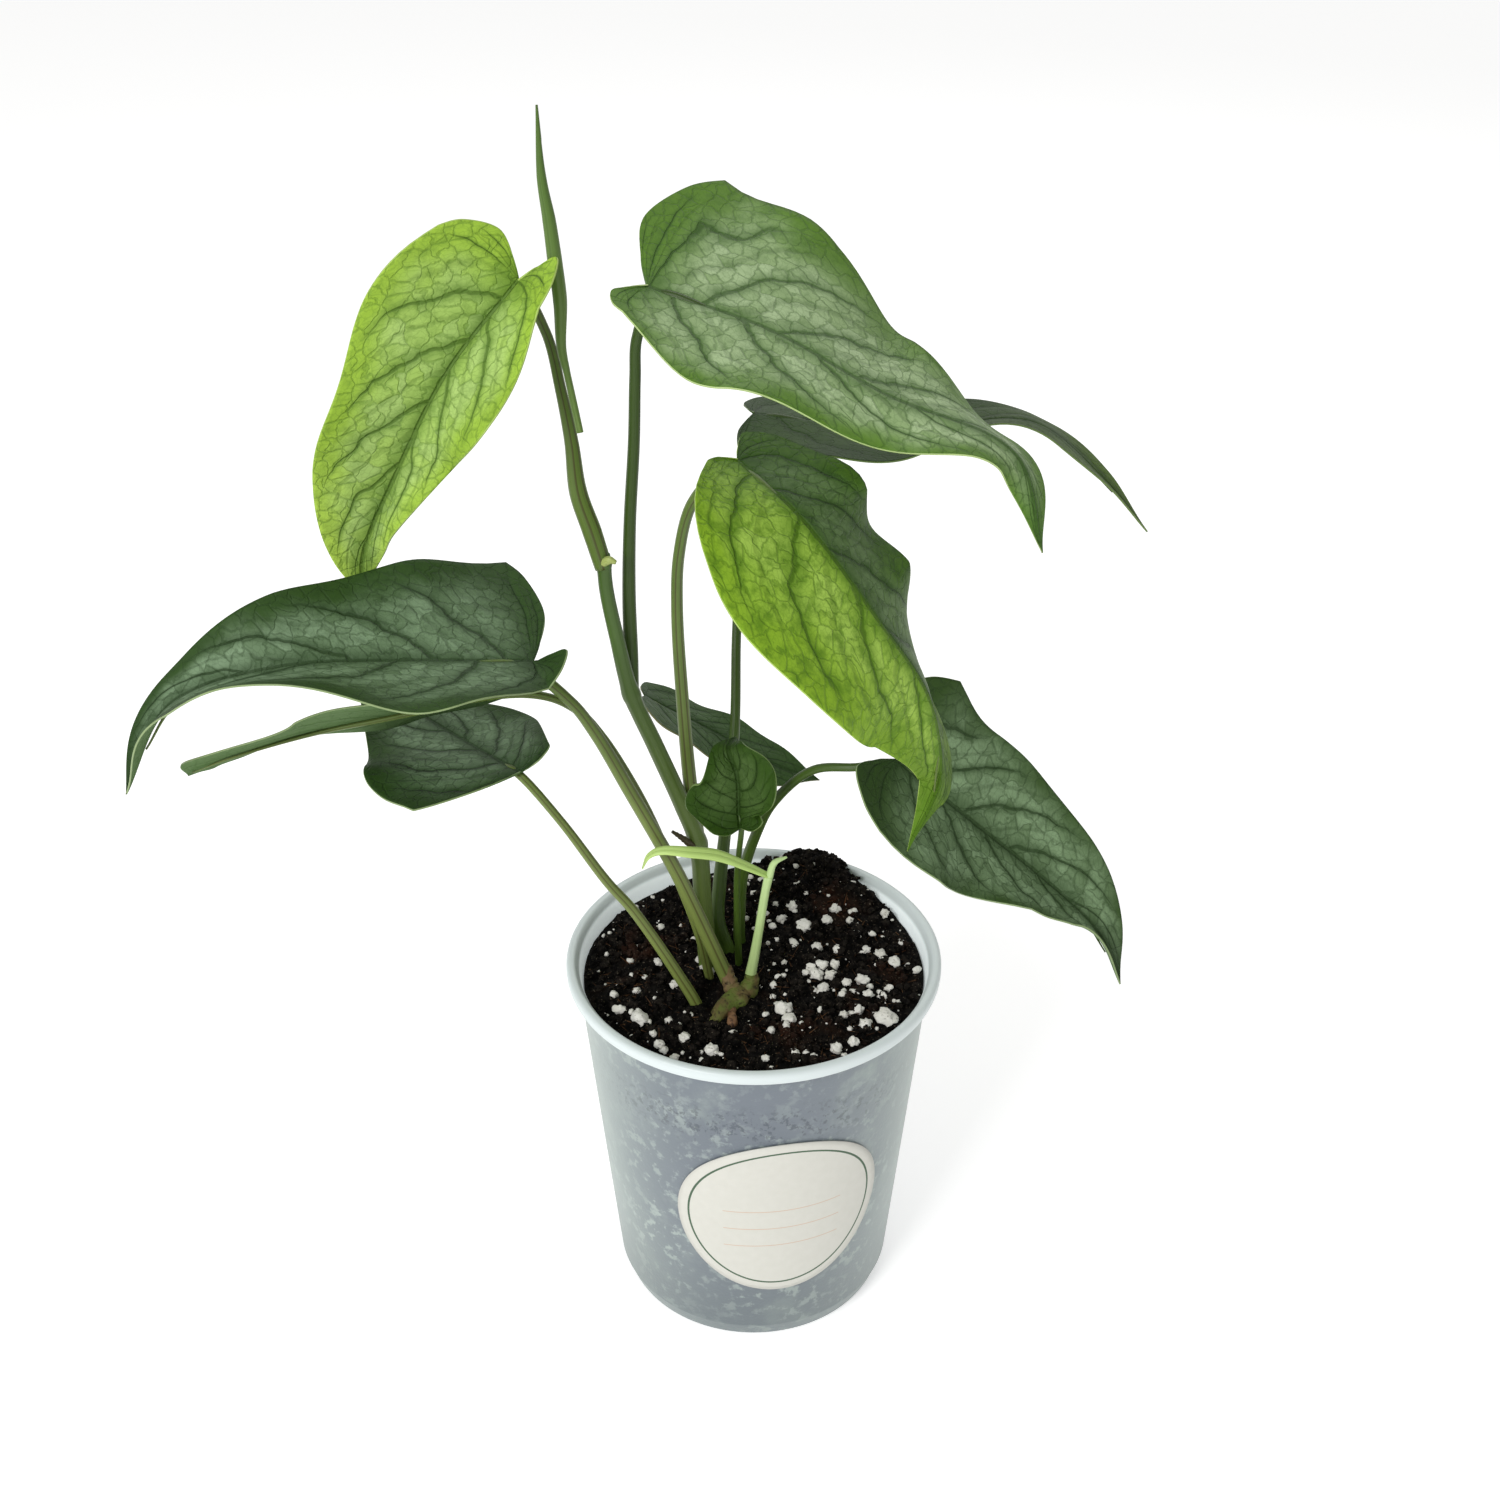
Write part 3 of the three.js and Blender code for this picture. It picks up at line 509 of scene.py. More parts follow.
def label_finish():
    skin = Finish("blank_label_paper", 0.6, 0.3)
    sheet = skin.node("UVMap", uv_map="sheet")
    x, z = skin.axis(sheet, "X"), skin.axis(sheet, "Y")

    def near(value, wanted, reach):
        return skin.calc("LESS_THAN", skin.calc("ABSOLUTE", skin.minus(value, wanted)), reach)

    rows = near(skin.calc("PINGPONG", skin.plus(z, ROW_GAP), ROW_GAP), 0.0, 0.16)
    rows = skin.times(rows, near(x, 0.0, 19.0), near(z, -4.0, 12.5))
    card = skin.mix(skin.grain(sheet, 0.35, 4), (197, 196, 187), (206, 205, 197))
    card = skin.mix(rows, card, (196, 170, 150))
    card = skin.mix(near(skin.size_of(sheet), BORDER_RADIUS, 0.35), card, (74, 96, 76))
    skin.put("Base Color", card)
    skin.relief(skin.grain(sheet, 4, 3), 0.00003)
    return skin.material


label_bm, _ = disc_bmesh(LABEL_RADIUS, 16, 96)
flat = label_bm.loops.layers.uv.new("sheet")
for face in label_bm.faces:
    for loop in face.loops:
        loop[flat].uv = loop.vert.co.xy
for vert in label_bm.verts:
    vert.co = on_wall(vert.co.x, vert.co.y)
label_bm.normal_update()
middle = on_wall(0, 0)
middle_face = min(label_bm.faces, key=lambda face: (face.calc_center_median() - middle).length)
if middle_face.normal.dot(middle - Vector((0, 0, LABEL_CENTRE * MM))) < 0:
    bmesh.ops.reverse_faces(label_bm, faces=label_bm.faces)
label = to_piece("label_sheet", label_bm, [label_finish()], "label")
paper = label.modifiers.new("paper", "SOLIDIFY")
paper.thickness = LABEL_THICKNESS * MM
paper.offset = 1.0
print("label is", round(label.dimensions.x * 1000, 1), "mm wide across the curve")

# %% [markdown]
# ## Soil
# Houseplant mix is peat crumbs with bark and white perlite. Its surface is one disc that is grown
# ring by ring and then pushed up and down by noise: a low mound with a heap at the back, then
# crumbs, then fine grit. Loose crumbs, fibres and perlite grains lie on top as their own small
# shapes, because noise alone never casts their shadows.

# %% Soil surface
SOIL_EDGE = 118.5
WALL_THICKNESS = 1.1
SOIL_GAP = 0.35
SOIL_RINGS = 96
SOIL_SECTORS = 288


def soil_mound(x, y):
    """The height of the soil in mm, before its crumbs."""
    r = math.hypot(x, y) / wall_radius(SOIL_EDGE)
    rough = math.sin(0.31 * x + 1) * math.cos(0.27 * y) + 0.6 * math.sin(0.53 * x - 0.41 * y + 2)
    heap = 9.5 * math.exp(-((math.hypot(x - 20, y - 45) / 24) ** 2))
    return SOIL_EDGE + 1.8 * (1 - r * r) + heap + 1.1 * rough * (1 - r ** 4)


def soil_height(x, y):
    """The height of the soil in mm, with crumbs."""
    r = math.hypot(x, y) / 55
    crumb = noise.fractal(Vector((x * 0.16, y * 0.16, 3)), 0.7, 2.1, 3) * 0.8
    grit = noise.noise(Vector((x * 0.75, y * 0.75, 9))) * 0.55
    grit += noise.noise(Vector((x * 1.9, y * 1.9, 5))) * 0.3
    return soil_mound(x, y) + (crumb + grit) * (1 - max(0.0, r - 0.9) * 4)


soil_radius = wall_radius(SOIL_EDGE) - WALL_THICKNESS - SOIL_GAP
soil_bm, ring_edges = disc_bmesh(soil_radius, SOIL_RINGS, SOIL_SECTORS)
for vert in soil_bm.verts:
    vert.co.z = soil_height(vert.co.x, vert.co.y)
for wanted_radius, z in ((43.4, 5.8), (41.8, 2.2)):
    grown = bmesh.ops.extrude_edge_only(soil_bm, edges=ring_edges)["geom"]
    ring_edges = [item for item in grown if isinstance(item, bmesh.types.BMEdge) and item.is_boundary]
    for vert in (item for item in grown if isinstance(item, bmesh.types.BMVert)):
        scale = wanted_radius / math.hypot(vert.co.x, vert.co.y)
        vert.co = Vector((vert.co.x * scale, vert.co.y * scale, z))
bmesh.ops.holes_fill(soil_bm, edges=[edge for edge in soil_bm.edges if edge.is_boundary], sides=0)
bmesh.ops.scale(soil_bm, vec=(MM, MM, MM), verts=soil_bm.verts)
bmesh.ops.recalc_face_normals(soil_bm, faces=soil_bm.faces)
print("soil surface has", len(soil_bm.faces), "faces")

# %% [markdown]
# Peat is almost black when it is moist, with rust-brown bark showing in places. Two noises of
# different size mix the two, and a fine one breaks the shine.

# %% Soil finish
def soil_finish(name, dark, light, brown):
    skin = Finish(name, 0.9, 0.08)
    place = skin.node("TexCoord", output="Object")
    tint = skin.mix(skin.fade(skin.grain(place, 420, 4, 0.6), 0.4, 0.7), dark, light)
    tint = skin.mix(skin.fade(skin.grain(place, 55, 3), 0.56, 0.72, 0.0, 0.55), tint, brown)
    specks = skin.fade(skin.grain(place, 1500, 1), 0.66, 0.74)
    tint = skin.mix(skin.times(specks, 0.45), tint, (120, 110, 95))
    skin.put("Base Color", tint)
    skin.relief(skin.grain(place, 900, 5, 0.7), 0.0006)
    return skin.material


peat = soil_finish("moist_peat", (10, 9, 9), (30, 28, 26), (46, 33, 25))
to_piece("soil_bed", soil_bm, [peat], "soil")
print("soil bed is in place")

# %% [markdown]
# ### Crumbs, fibres and perlite
# Hundreds of small things lie on the soil. Each starts as a ball of twenty or more faces, or a thin
# four-sided rod, and is squeezed and roughened by noise. They are gathered into three pieces, one
# for each finish. The larger perlite grains lie where the photograph shows them, and the rest are
# strewn by seeded random numbers.

# %% Loose grains
rng = random.Random(7)
BIG_GRAINS = [
    (-35.5, -26.5, 3.9), (-25, -9.5, 2.6), (-16, -2.5, 2), (-14, -4, 2.1), (-17.5, 2.8, 1.8), (-14, 5, 1.6),
    (-21.5, -34.5, 2.8), (-26.5, -25, 2), (-13, -41, 3.2), (-37, -11, 1.9), (9, -22, 3.8), (11, -27, 3),
    (10, -31, 1.8), (18.5, -2.5, 2.6), (22, -2, 2.4), (20, -6, 2.8), (24.5, -4.5, 2.5), (26, -0.5, 2.5),
    (22, -11.5, 2.8), (28, -15, 2.4), (34.5, -7.5, 3.2), (29.5, -9.5, 2), (36, -15.5, 2.2),
    (32.5, -21.5, 2.6), (40.5, -14, 2.4), (43, -10.5, 2.6), (45.5, 1.5, 3), (41, 6, 2.7), (36, 8, 2.3),
    (41, -26.5, 3.9), (34.5, -30, 2.9), (28, -24.5, 2.1), (30.5, -37.5, 2.6), (25, -40.5, 2.8),
    (27.5, -43.5, 2), (12.5, -42, 1.7), (18, -43.5, 1.9), (13, 26.5, 2.8), (9.5, 22, 2.4), (16.5, 17.5, 3),
    (24, 19.5, 2.6), (27, 26, 2.5), (20.5, 9, 2.4), (13, 10, 1.9), (27, 6.5, 2.2), (33.5, 14, 1.8),
    (-42, -22, 2.4), (-29, -38.5, 2.3), (-24, -44.5, 2), (3.5, -45, 1.6), (-6.5, -34.5, 1.6), (6, -15, 1.4),
    (-31, 3, 1.8), (-40, 4, 1.6),
]
KEEP_CLEAR = [(-13, -1, 5), (-8, -11, 4), (-14, -18, 4), (-7, 8, 4), (-3, 13, 4), (-4, 3, 3), (-16, 44, 3),
              (-6, -15, 8), (-7, -27, 4)]


def free_spot(x, y, radius):
    """Whether a grain there stays inside the pot and off the stems."""
    if math.hypot(x, y) + radius >= soil_radius - 0.3:
        return False
    return all(math.hypot(x - a, y - b) > r + radius * 0.5 for a, b, r in KEEP_CLEAR)


def add_lump(bm, x, y, radius, sink, flatness, rough, subdivisions):
    """One rough ball pressed into the soil."""
    ball = bmesh.ops.create_icosphere(bm, subdivisions=subdivisions, radius=1.0)["verts"]
    seed = Vector((x * 3.1, y * 2.7, radius))
    turn = Matrix.Rotation(rng.uniform(0, math.tau), 4, "Z")
    turn = turn @ Matrix.Rotation(rng.uniform(-0.4, 0.4), 4, "X")
    sides = Vector((rng.uniform(0.8, 1.25), rng.uniform(0.75, 1.0), flatness))
    height = soil_height(x, y)
    for vert in ball:
        bulge = noise.noise(vert.co * 1.7 + seed) + 0.5 * noise.noise(vert.co * 4 + seed)
        vert.co = turn @ (vert.co * sides) * radius * (1 + rough * bulge)
        vert.co += Vector((x, y, height + radius * flatness * (1 - sink)))


def strew(whole, wanted, make_one, first=()):
    """Adds many small shapes to a bmesh in batches, because a bmesh slows down as it grows."""
    batch = bmesh.new()
    for number in range(wanted):
        make_one(batch, first[number] if number < len(first) else None)
        if number % 40 == 39 or number == wanted - 1:
            bmesh.ops.scale(batch, vec=(MM, MM, MM), verts=batch.verts)
            store = bpy.data.meshes.new("batch")
            batch.to_mesh(store)
            batch.clear()
            whole.from_mesh(store)
            bpy.data.meshes.remove(store)
    return whole


def random_spot(radius):
    while True:
        angle, far = rng.uniform(0, math.tau), math.sqrt(rng.random()) * soil_radius
        x, y = far * math.cos(angle), far * math.sin(angle)
        if free_spot(x, y, radius):
            return x, y


def perlite_grain(bm, known):
    """A white grain, either one of the larger ones or a small one anywhere."""
    if known:
        x, y, radius = known
        add_lump(bm, x, y, radius * 0.74, 0.4, 0.8, 0.5, 3)
    else:
        radius = lerp(0.35, 1.5, rng.random() ** 2.6)
        add_lump(bm, *random_spot(radius), radius, 0.4, 0.8, 0.5, 2 if radius > 0.55 else 1)


perlite_bm = strew(bmesh.new(), 330, perlite_grain, BIG_GRAINS)
print("perlite has", len(perlite_bm.faces), "faces")

# %% [markdown]
# The dark things on the soil are made the same way. Crumbs of peat are rough balls, most of them
# tiny, and bits of bark are thin rods that lie nearly flat. At the back, crumbs of the heap have
# spilled over the rim, so those are strewn along one stretch of it.

# %% Crumbs and fibres
def crumb(bm, known):
    """A crumb of peat anywhere on the soil."""
    radius = lerp(0.35, 1.7, rng.random() ** 2.2)
    add_lump(bm, *random_spot(radius), radius, 0.35, 0.75, 0.8, 1 if radius < 1.0 else 2)


def fibre(bm, known):
    """A thin bit of bark that lies on the soil."""
    x, y = random_spot(3.5)
    length = lerp(1.6, 6.0, rng.random() ** 2)
    bit = bmesh.ops.create_cone(bm, cap_ends=True, segments=4, radius1=rng.uniform(0.12, 0.34),
                                radius2=0.08, depth=length)["verts"]
    turn = Matrix.Rotation(rng.uniform(0, math.tau), 4, "Z")
    lean = Matrix.Rotation(math.radians(rng.uniform(55, 95)), 4, "X")
    lift = Matrix.Translation((x, y, soil_height(x, y) + 0.5))
    bmesh.ops.transform(bm, matrix=lift @ turn @ lean, verts=bit)


def spilled_crumb(bm, known):
    """A crumb of the heap at the back, which has spilled over the rim."""
    angle = math.radians(rng.gauss(64, 11))
    far, radius = rng.uniform(49, 57.3), lerp(0.5, 1.9, rng.random() ** 2)
    x, y = far * math.cos(angle), far * math.sin(angle)
    if soil_height(x, y) > 126.0 or far < soil_radius - radius:
        add_lump(bm, x, y, radius, 0.2, 0.8, 0.8, 2)


crumb_bm = strew(bmesh.new(), 2300, crumb)
crumb_bm = strew(crumb_bm, 420, spilled_crumb)
fibre_bm = strew(bmesh.new(), 420, fibre)
print("crumbs have", len(crumb_bm.faces), "faces and fibres", len(fibre_bm.faces))

# %% [markdown]
# Perlite is puffed volcanic glass: chalky white, with small dark pits. Crumbs and bark take the soil
# finish again, in other browns, and their faces stay flat so that they look broken and dry.

# %% Grain finishes
def perlite_finish():
    skin = Finish("white_perlite", 0.8, 0.3)
    place = skin.node("TexCoord", output="Object")
    tint = skin.mix(skin.grain(place, 260, 2), (196, 192, 182), (236, 235, 229))
    pits = skin.fade(skin.grain(place, 900, 3, 0.6), 0.6, 0.72)
    skin.put("Base Color", skin.mix(skin.times(pits, 0.75), tint, (70, 62, 50)))
    skin.relief(skin.grain(place, 1200, 3), 0.0004)
    return skin.material


to_piece("perlite_grains", perlite_bm, [perlite_finish()], "soil")
crumb_peat = soil_finish("peat_crumbs", (14, 12, 11), (42, 38, 34), (58, 37, 27))
to_piece("peat_crumb_heap", crumb_bm, [crumb_peat], "soil", smooth=False)
bark = soil_finish("bark_fibres", (48, 34, 25), (96, 72, 52), (84, 48, 32))
to_piece("bark_fibre_bits", fibre_bm, [bark], "soil", smooth=False)
print("grains are finished")

# %% [markdown]
# ## Stem finishes
# Young stems and stalks of this plant are smooth and satin, yellower at the base and greener
# towards the leaf, with fine lines along them. The rods carry a map of how far round and how far
# along each point is, so noise that is stretched along the length draws those lines.

# %% Stem finish
def stalk_finish(name, low, high, line, low_end=0.125, high_end=0.26, line_strength=0.35, grooved=0.0):
    """Green rods: one colour low down, another high up, and fine lines along them."""
    skin = Finish(name, 0.36, 0.32)
    around = skin.node("UVMap", uv_map="around")
    place = skin.node("TexCoord", output="Object")
    tint = skin.mix(skin.fade(skin.axis(place, "Z"), low_end, high_end), low, high)
    tint = skin.mix(skin.fade(skin.grain(place, 45, 3), 0.45, 0.75, 0, 0.22), tint, line)
    streaks = skin.fade(skin.grain(around, 1, 3, 0.6, stretch=(14, 2.5, 1)), 0.48, 0.66)
    tint = skin.mix(skin.times(streaks, line_strength), tint, line)
    if grooved:
        from_top = skin.calc("PINGPONG", skin.axis(around, "X"), 0.5)
        lips = skin.calc("ABSOLUTE", skin.minus(from_top, 0.075))
        tint = skin.mix(skin.times(skin.fade(lips, 0.03, 0.008), grooved), tint, (62, 50, 24))
    skin.put("Base Color", tint)
    skin.relief(skin.grain(around, 1, 2, 0.5, stretch=(24, 4, 1)), 0.0002)
    return skin.material


green_stem = stalk_finish("green_vine_skin", (98, 115, 58), (70, 94, 44), (48, 68, 30))
print("stem finish is ready")

# %% [markdown]
# ## Vine
# The climbing stem rises on the left. Where each leaf leaves it there is a node: a slightly swollen
# ring with a scar, and sometimes a stub of an aerial root. The stem is one rod whose radius swells
# at the nodes, and the stubs are small tapered rods that start inside it.

# %% Vine
VINE = [(-12, -1, 100), (-14.5, -0.5, 120), (-16, 1, 144), (-17.5, 2, 167), (-22, 3, 180.5), (-30, 4, 201.5),
        (-36.5, 4, 219), (-40, 3, 238), (-42.5, 2, 255), (-43, 2, 266)]
VINE_RADII = [3, 3, 2.9, 2.8, 2.7, 2.6, 2.5, 2.2, 2.1, 2.0]


def vine_section(share, angle):
    swell = 0.0
    for ring in (3 / 9, 6 / 9, 8.72 / 9):
        swell += 0.17 * math.exp(-(((share - ring) * 9 / 0.16) ** 2))
        swell -= 0.05 * math.exp(-(((share - ring + 0.012) * 9 / 0.05) ** 2))
    return 1 + swell - 0.05 * math.exp(-(angle / 0.7) ** 2)


vine = rod("vine_stem", VINE, VINE_RADII, green_stem, "vine",
           sides=22, steps=220, section=vine_section)
scar = stalk_finish("node_scar_skin", (70, 62, 40), (92, 96, 52), (50, 44, 28), 0.16, 0.23)
rod("root_stub_low", [(-18, 0, 166), (-21.5, -2, 171), (-25, -3, 174.5)], [1.3, 1.0, 0.5], scar,
    "vine", steps=16, section=lambda share, angle: 1 + 0.12 * math.sin(share * 40))
pale_stub = stalk_finish("pale_bud_skin", (150, 164, 96), (166, 178, 104), (120, 128, 70))
rod("bud_stub_high", [(-43, 1, 264), (-41, -0.5, 265.5), (-39.2, -1, 265)], [1.4, 1.2, 0.6],
    pale_stub, "vine", steps=12)
print("vine has", len(vine.data.polygons), "faces")

# %% [markdown]
# ## The old cutting
# The plant was grown from a cutting that still lies at the front: a knobbly piece of old stem that
# forks, a round cut end that faces the viewer, and a brown root that dives into the soil. The rods
# are bumpier and browner here.

# %% Old cutting
def knobbly(amount, seed):
    """A cross-section that swells and shrinks with noise."""
    def section(share, angle):
        spot = Vector((math.cos(angle) * 1.4, math.sin(angle) * 1.4, share * 9 + seed))
        return 1 + amount * noise.noise(spot)
    return section


def bark_finish(name, green, brown, dark):
    skin = Finish(name, 0.7, 0.3)
    place = skin.node("TexCoord", output="Object")
    tint = skin.mix(skin.fade(skin.grain(place, 160, 4, 0.6), 0.4, 0.62), green, brown)
    tint = skin.mix(skin.fade(skin.grain(place, 520, 4, 0.6), 0.52, 0.7), tint, dark)
    skin.put("Base Color", tint)
    skin.relief(skin.grain(place, 700, 4, 0.6), 0.0005)
    return skin.material


old_bark = bark_finish("old_stem_bark", (86, 98, 42), (92, 80, 48), (44, 38, 22))
dry_bark = bark_finish("dry_stem_bark", (104, 96, 58), (112, 90, 64), (48, 38, 26))
root_bark = bark_finish("root_bark", (120, 90, 64), (92, 62, 42), (48, 30, 20))
rod("cutting_stem",
    [(-14, -30, 110), (-12.3, -26.5, 117.5), (-9.5, -21.5, 120), (-5.5, -16.8, 120.6),
     (-2.2, -14.2, 121.5), (-0.8, -12.6, 124.5), (-0.8, -12.2, 127)],
    [1.8, 2.3, 2.9, 3.6, 3.2, 2.4, 1.9], old_bark, "cutting",
    sides=28, steps=110, section=knobbly(0.2, 2))
rod("cutting_fork", [(-5, -15.5, 120.5), (-7, -13.2, 122.3), (-8.3, -11.5, 125), (-9, -10, 128)],
    [3.0, 2.7, 2.3, 1.9], dry_bark, "cutting",
    sides=24, steps=60, section=knobbly(0.22, 7))
rod("cutting_cut_end", [(-3.9, -16.4, 120.3), (-3.85, -18.4, 121.4), (-3.8, -20.0, 122.4)],
    [2.5, 2.2, 2.0], old_bark, "cutting", sides=24, steps=14, section=knobbly(0.06, 5))
rod("cutting_root", [(-6.5, -18, 120), (-6.7, -23.5, 120.2), (-6.7, -27.5, 120.3), (-6.5, -30.5, 117)],
    [1.0, 1.2, 1.6, 0.9], root_bark, "cutting", steps=30, section=knobbly(0.25, 8))
print("cutting and its cut end are in place")

# %% [markdown]
# ## New shoot
# A pale shoot rises from the cutting and carries one narrow young leaf that arches to the left, and
# a hooked tip. It has little colour yet. The leaf is a rod pressed flat, with raised edges, so that
# it reads as a folded strip.

# %% New shoot
pale_skin = stalk_finish("pale_shoot_skin", (166, 188, 126), (180, 205, 142), (134, 160, 92),
                         0.126, 0.17, 0.25)
rod("shoot_stem",
    [(-1, -12, 126.5), (0, -12.5, 133), (1.5, -13, 144), (3.5, -14, 160), (4.5, -14.5, 166)],
    [1.8, 1.6, 1.4, 1.3, 1.4], pale_skin, "shoot",
    sides=18, steps=60, section=channelled(0.12))
rod("shoot_hook", [(4.5, -14.5, 165), (6.2, -14, 170.5), (10, -13, 172)], [1.2, 1.0, 0.35],
    pale_skin, "shoot", steps=24)


def pressed_flat(share, angle):
    """Wide and thin, with a fold along the middle."""
    thin = 0.42 / math.sqrt((0.42 * math.sin(angle)) ** 2 + math.cos(angle) ** 2)
    return thin * (1 - 0.25 * math.exp(-(angle / 0.5) ** 2))


young_skin = stalk_finish("young_leaf_skin", (168, 196, 111), (178, 204, 120), (140, 172, 84),
                          0.165, 0.181, 0.3)
rod("shoot_leaf", [(4.5, -14.5, 166), (-2.5, -16, 170.8), (-11, -18, 176), (-19, -20, 178.5),
                   (-28, -20, 179), (-31.5, -20, 177), (-33.5, -20, 172.5)],
    [1.1, 1.6, 2.0, 1.9, 1.4, 1.0, 0.3], young_skin, "shoot",
    sides=28, steps=90, up=(0.3, -0.5, 0.8), section=pressed_flat)
print("shoot is in place")

# %% [markdown]
# ## Leaf blades
# A blade is a heart-shaped sheet with two lobes behind the notch, a fold along its midrib and wavy
# edges. It starts as a flat grid: across it runs from the left edge over the midrib to the right
# edge, and along it runs from the notch round the lobe to the tip. A formula then lays each grid
# point in space, as the CAD does, and presses the side veins in, so that the blade is quilted.
# Columns that meet at the notch and at the tip are merged there.

# %% Blade outline and veins
LOBE_SHARE = 0.35
HALF_OUTLINE = [(0, 0), (-0.55, 0.2), (-0.98, 0.46), (-0.58, 0.78), (0.09, 0.95), (0.28, 0.98), (0.46, 0.84),
                (0.63, 0.6), (0.79, 0.32), (0.91, 0.12), (1, 0)]
VEIN_PAIRS = 8.5
VEIN_BEND = 0.12
RIGHT_SHIFT = 0.45


def outline_at(u):
    """One half of the outline: how far along the midrib, and how far out, as shares."""
    place = max(0.0, min(1.0, u)) * (len(HALF_OUTLINE) - 1)
    row = min(int(place), len(HALF_OUTLINE) - 2)
    t = place - row
    picks = [HALF_OUTLINE[max(0, min(len(HALF_OUTLINE) - 1, row + shift))] for shift in (-1, 0, 1, 2)]
    result = []
    for p0, p1, p2, p3 in zip(*picks):
        v0, v1 = (p2 - p0) / 2, (p3 - p1) / 2
        cubic, square = 2 * p1 - 2 * p2 + v0 + v1, -3 * p1 + 3 * p2 - 2 * v0 - v1
        result.append(cubic * t ** 3 + square * t ** 2 + v0 * t + p1)
    return result


def fullness(shape, x):
    """How much wider than the common outline a half is, from its lobe at 0 to its tip at 1."""
    shoulder, *swells = shape
    total = sum(swell * math.sin(count * math.pi * x) for count, swell in enumerate(swells, 1))
    return 1 + shoulder * math.cos(math.pi * x / 2) ** 2 + total


def heading(turn, rise):
    """A direction from a compass turn and a rise, both in degrees."""
    turn, rise = math.radians(turn), math.radians(rise)
    return Vector((math.cos(turn) * math.cos(rise), math.sin(turn) * math.cos(rise), math.sin(rise)))


def quilt(u, v, side):
    """How far the surface bulges between two side veins, from 0 at a vein to 1."""
    phase = (u - VEIN_BEND * v * v) * VEIN_PAIRS + (RIGHT_SHIFT if side > 0 else 0.0)
    between = abs(math.sin(math.pi * phase)) ** 0.8
    return between * math.sin(math.pi * min(1.0, v * 1.06)) ** 0.7


outline_check = [tuple(round(value, 2) for value in outline_at(share)) for share in (0, 0.25, 0.5, 0.75, 1)]
print("half outline at quarters:", outline_check)

# %% [markdown]
# No two leaves are alike, so each has its own row of numbers: the line of its midrib, the way it
# faces at its notch and at its tip, and how wide, folded, cupped and wavy each half is. A formula
# reads them, because one formula is easier to correct than ten modelled sheets.

# %% The ten leaves
def half(width, shape, lobe, fold, cup, wave, lift=0):
    """One half of a blade. Its width, lobe and lift are in mm, its fold and cup in degrees; shape is
    read by fullness(), and wave is the height of the ripples in mm and where they start."""
    return dict(width=width, shape=shape, lobe=lobe, fold=fold, cup=cup, wave=wave, lift=lift)


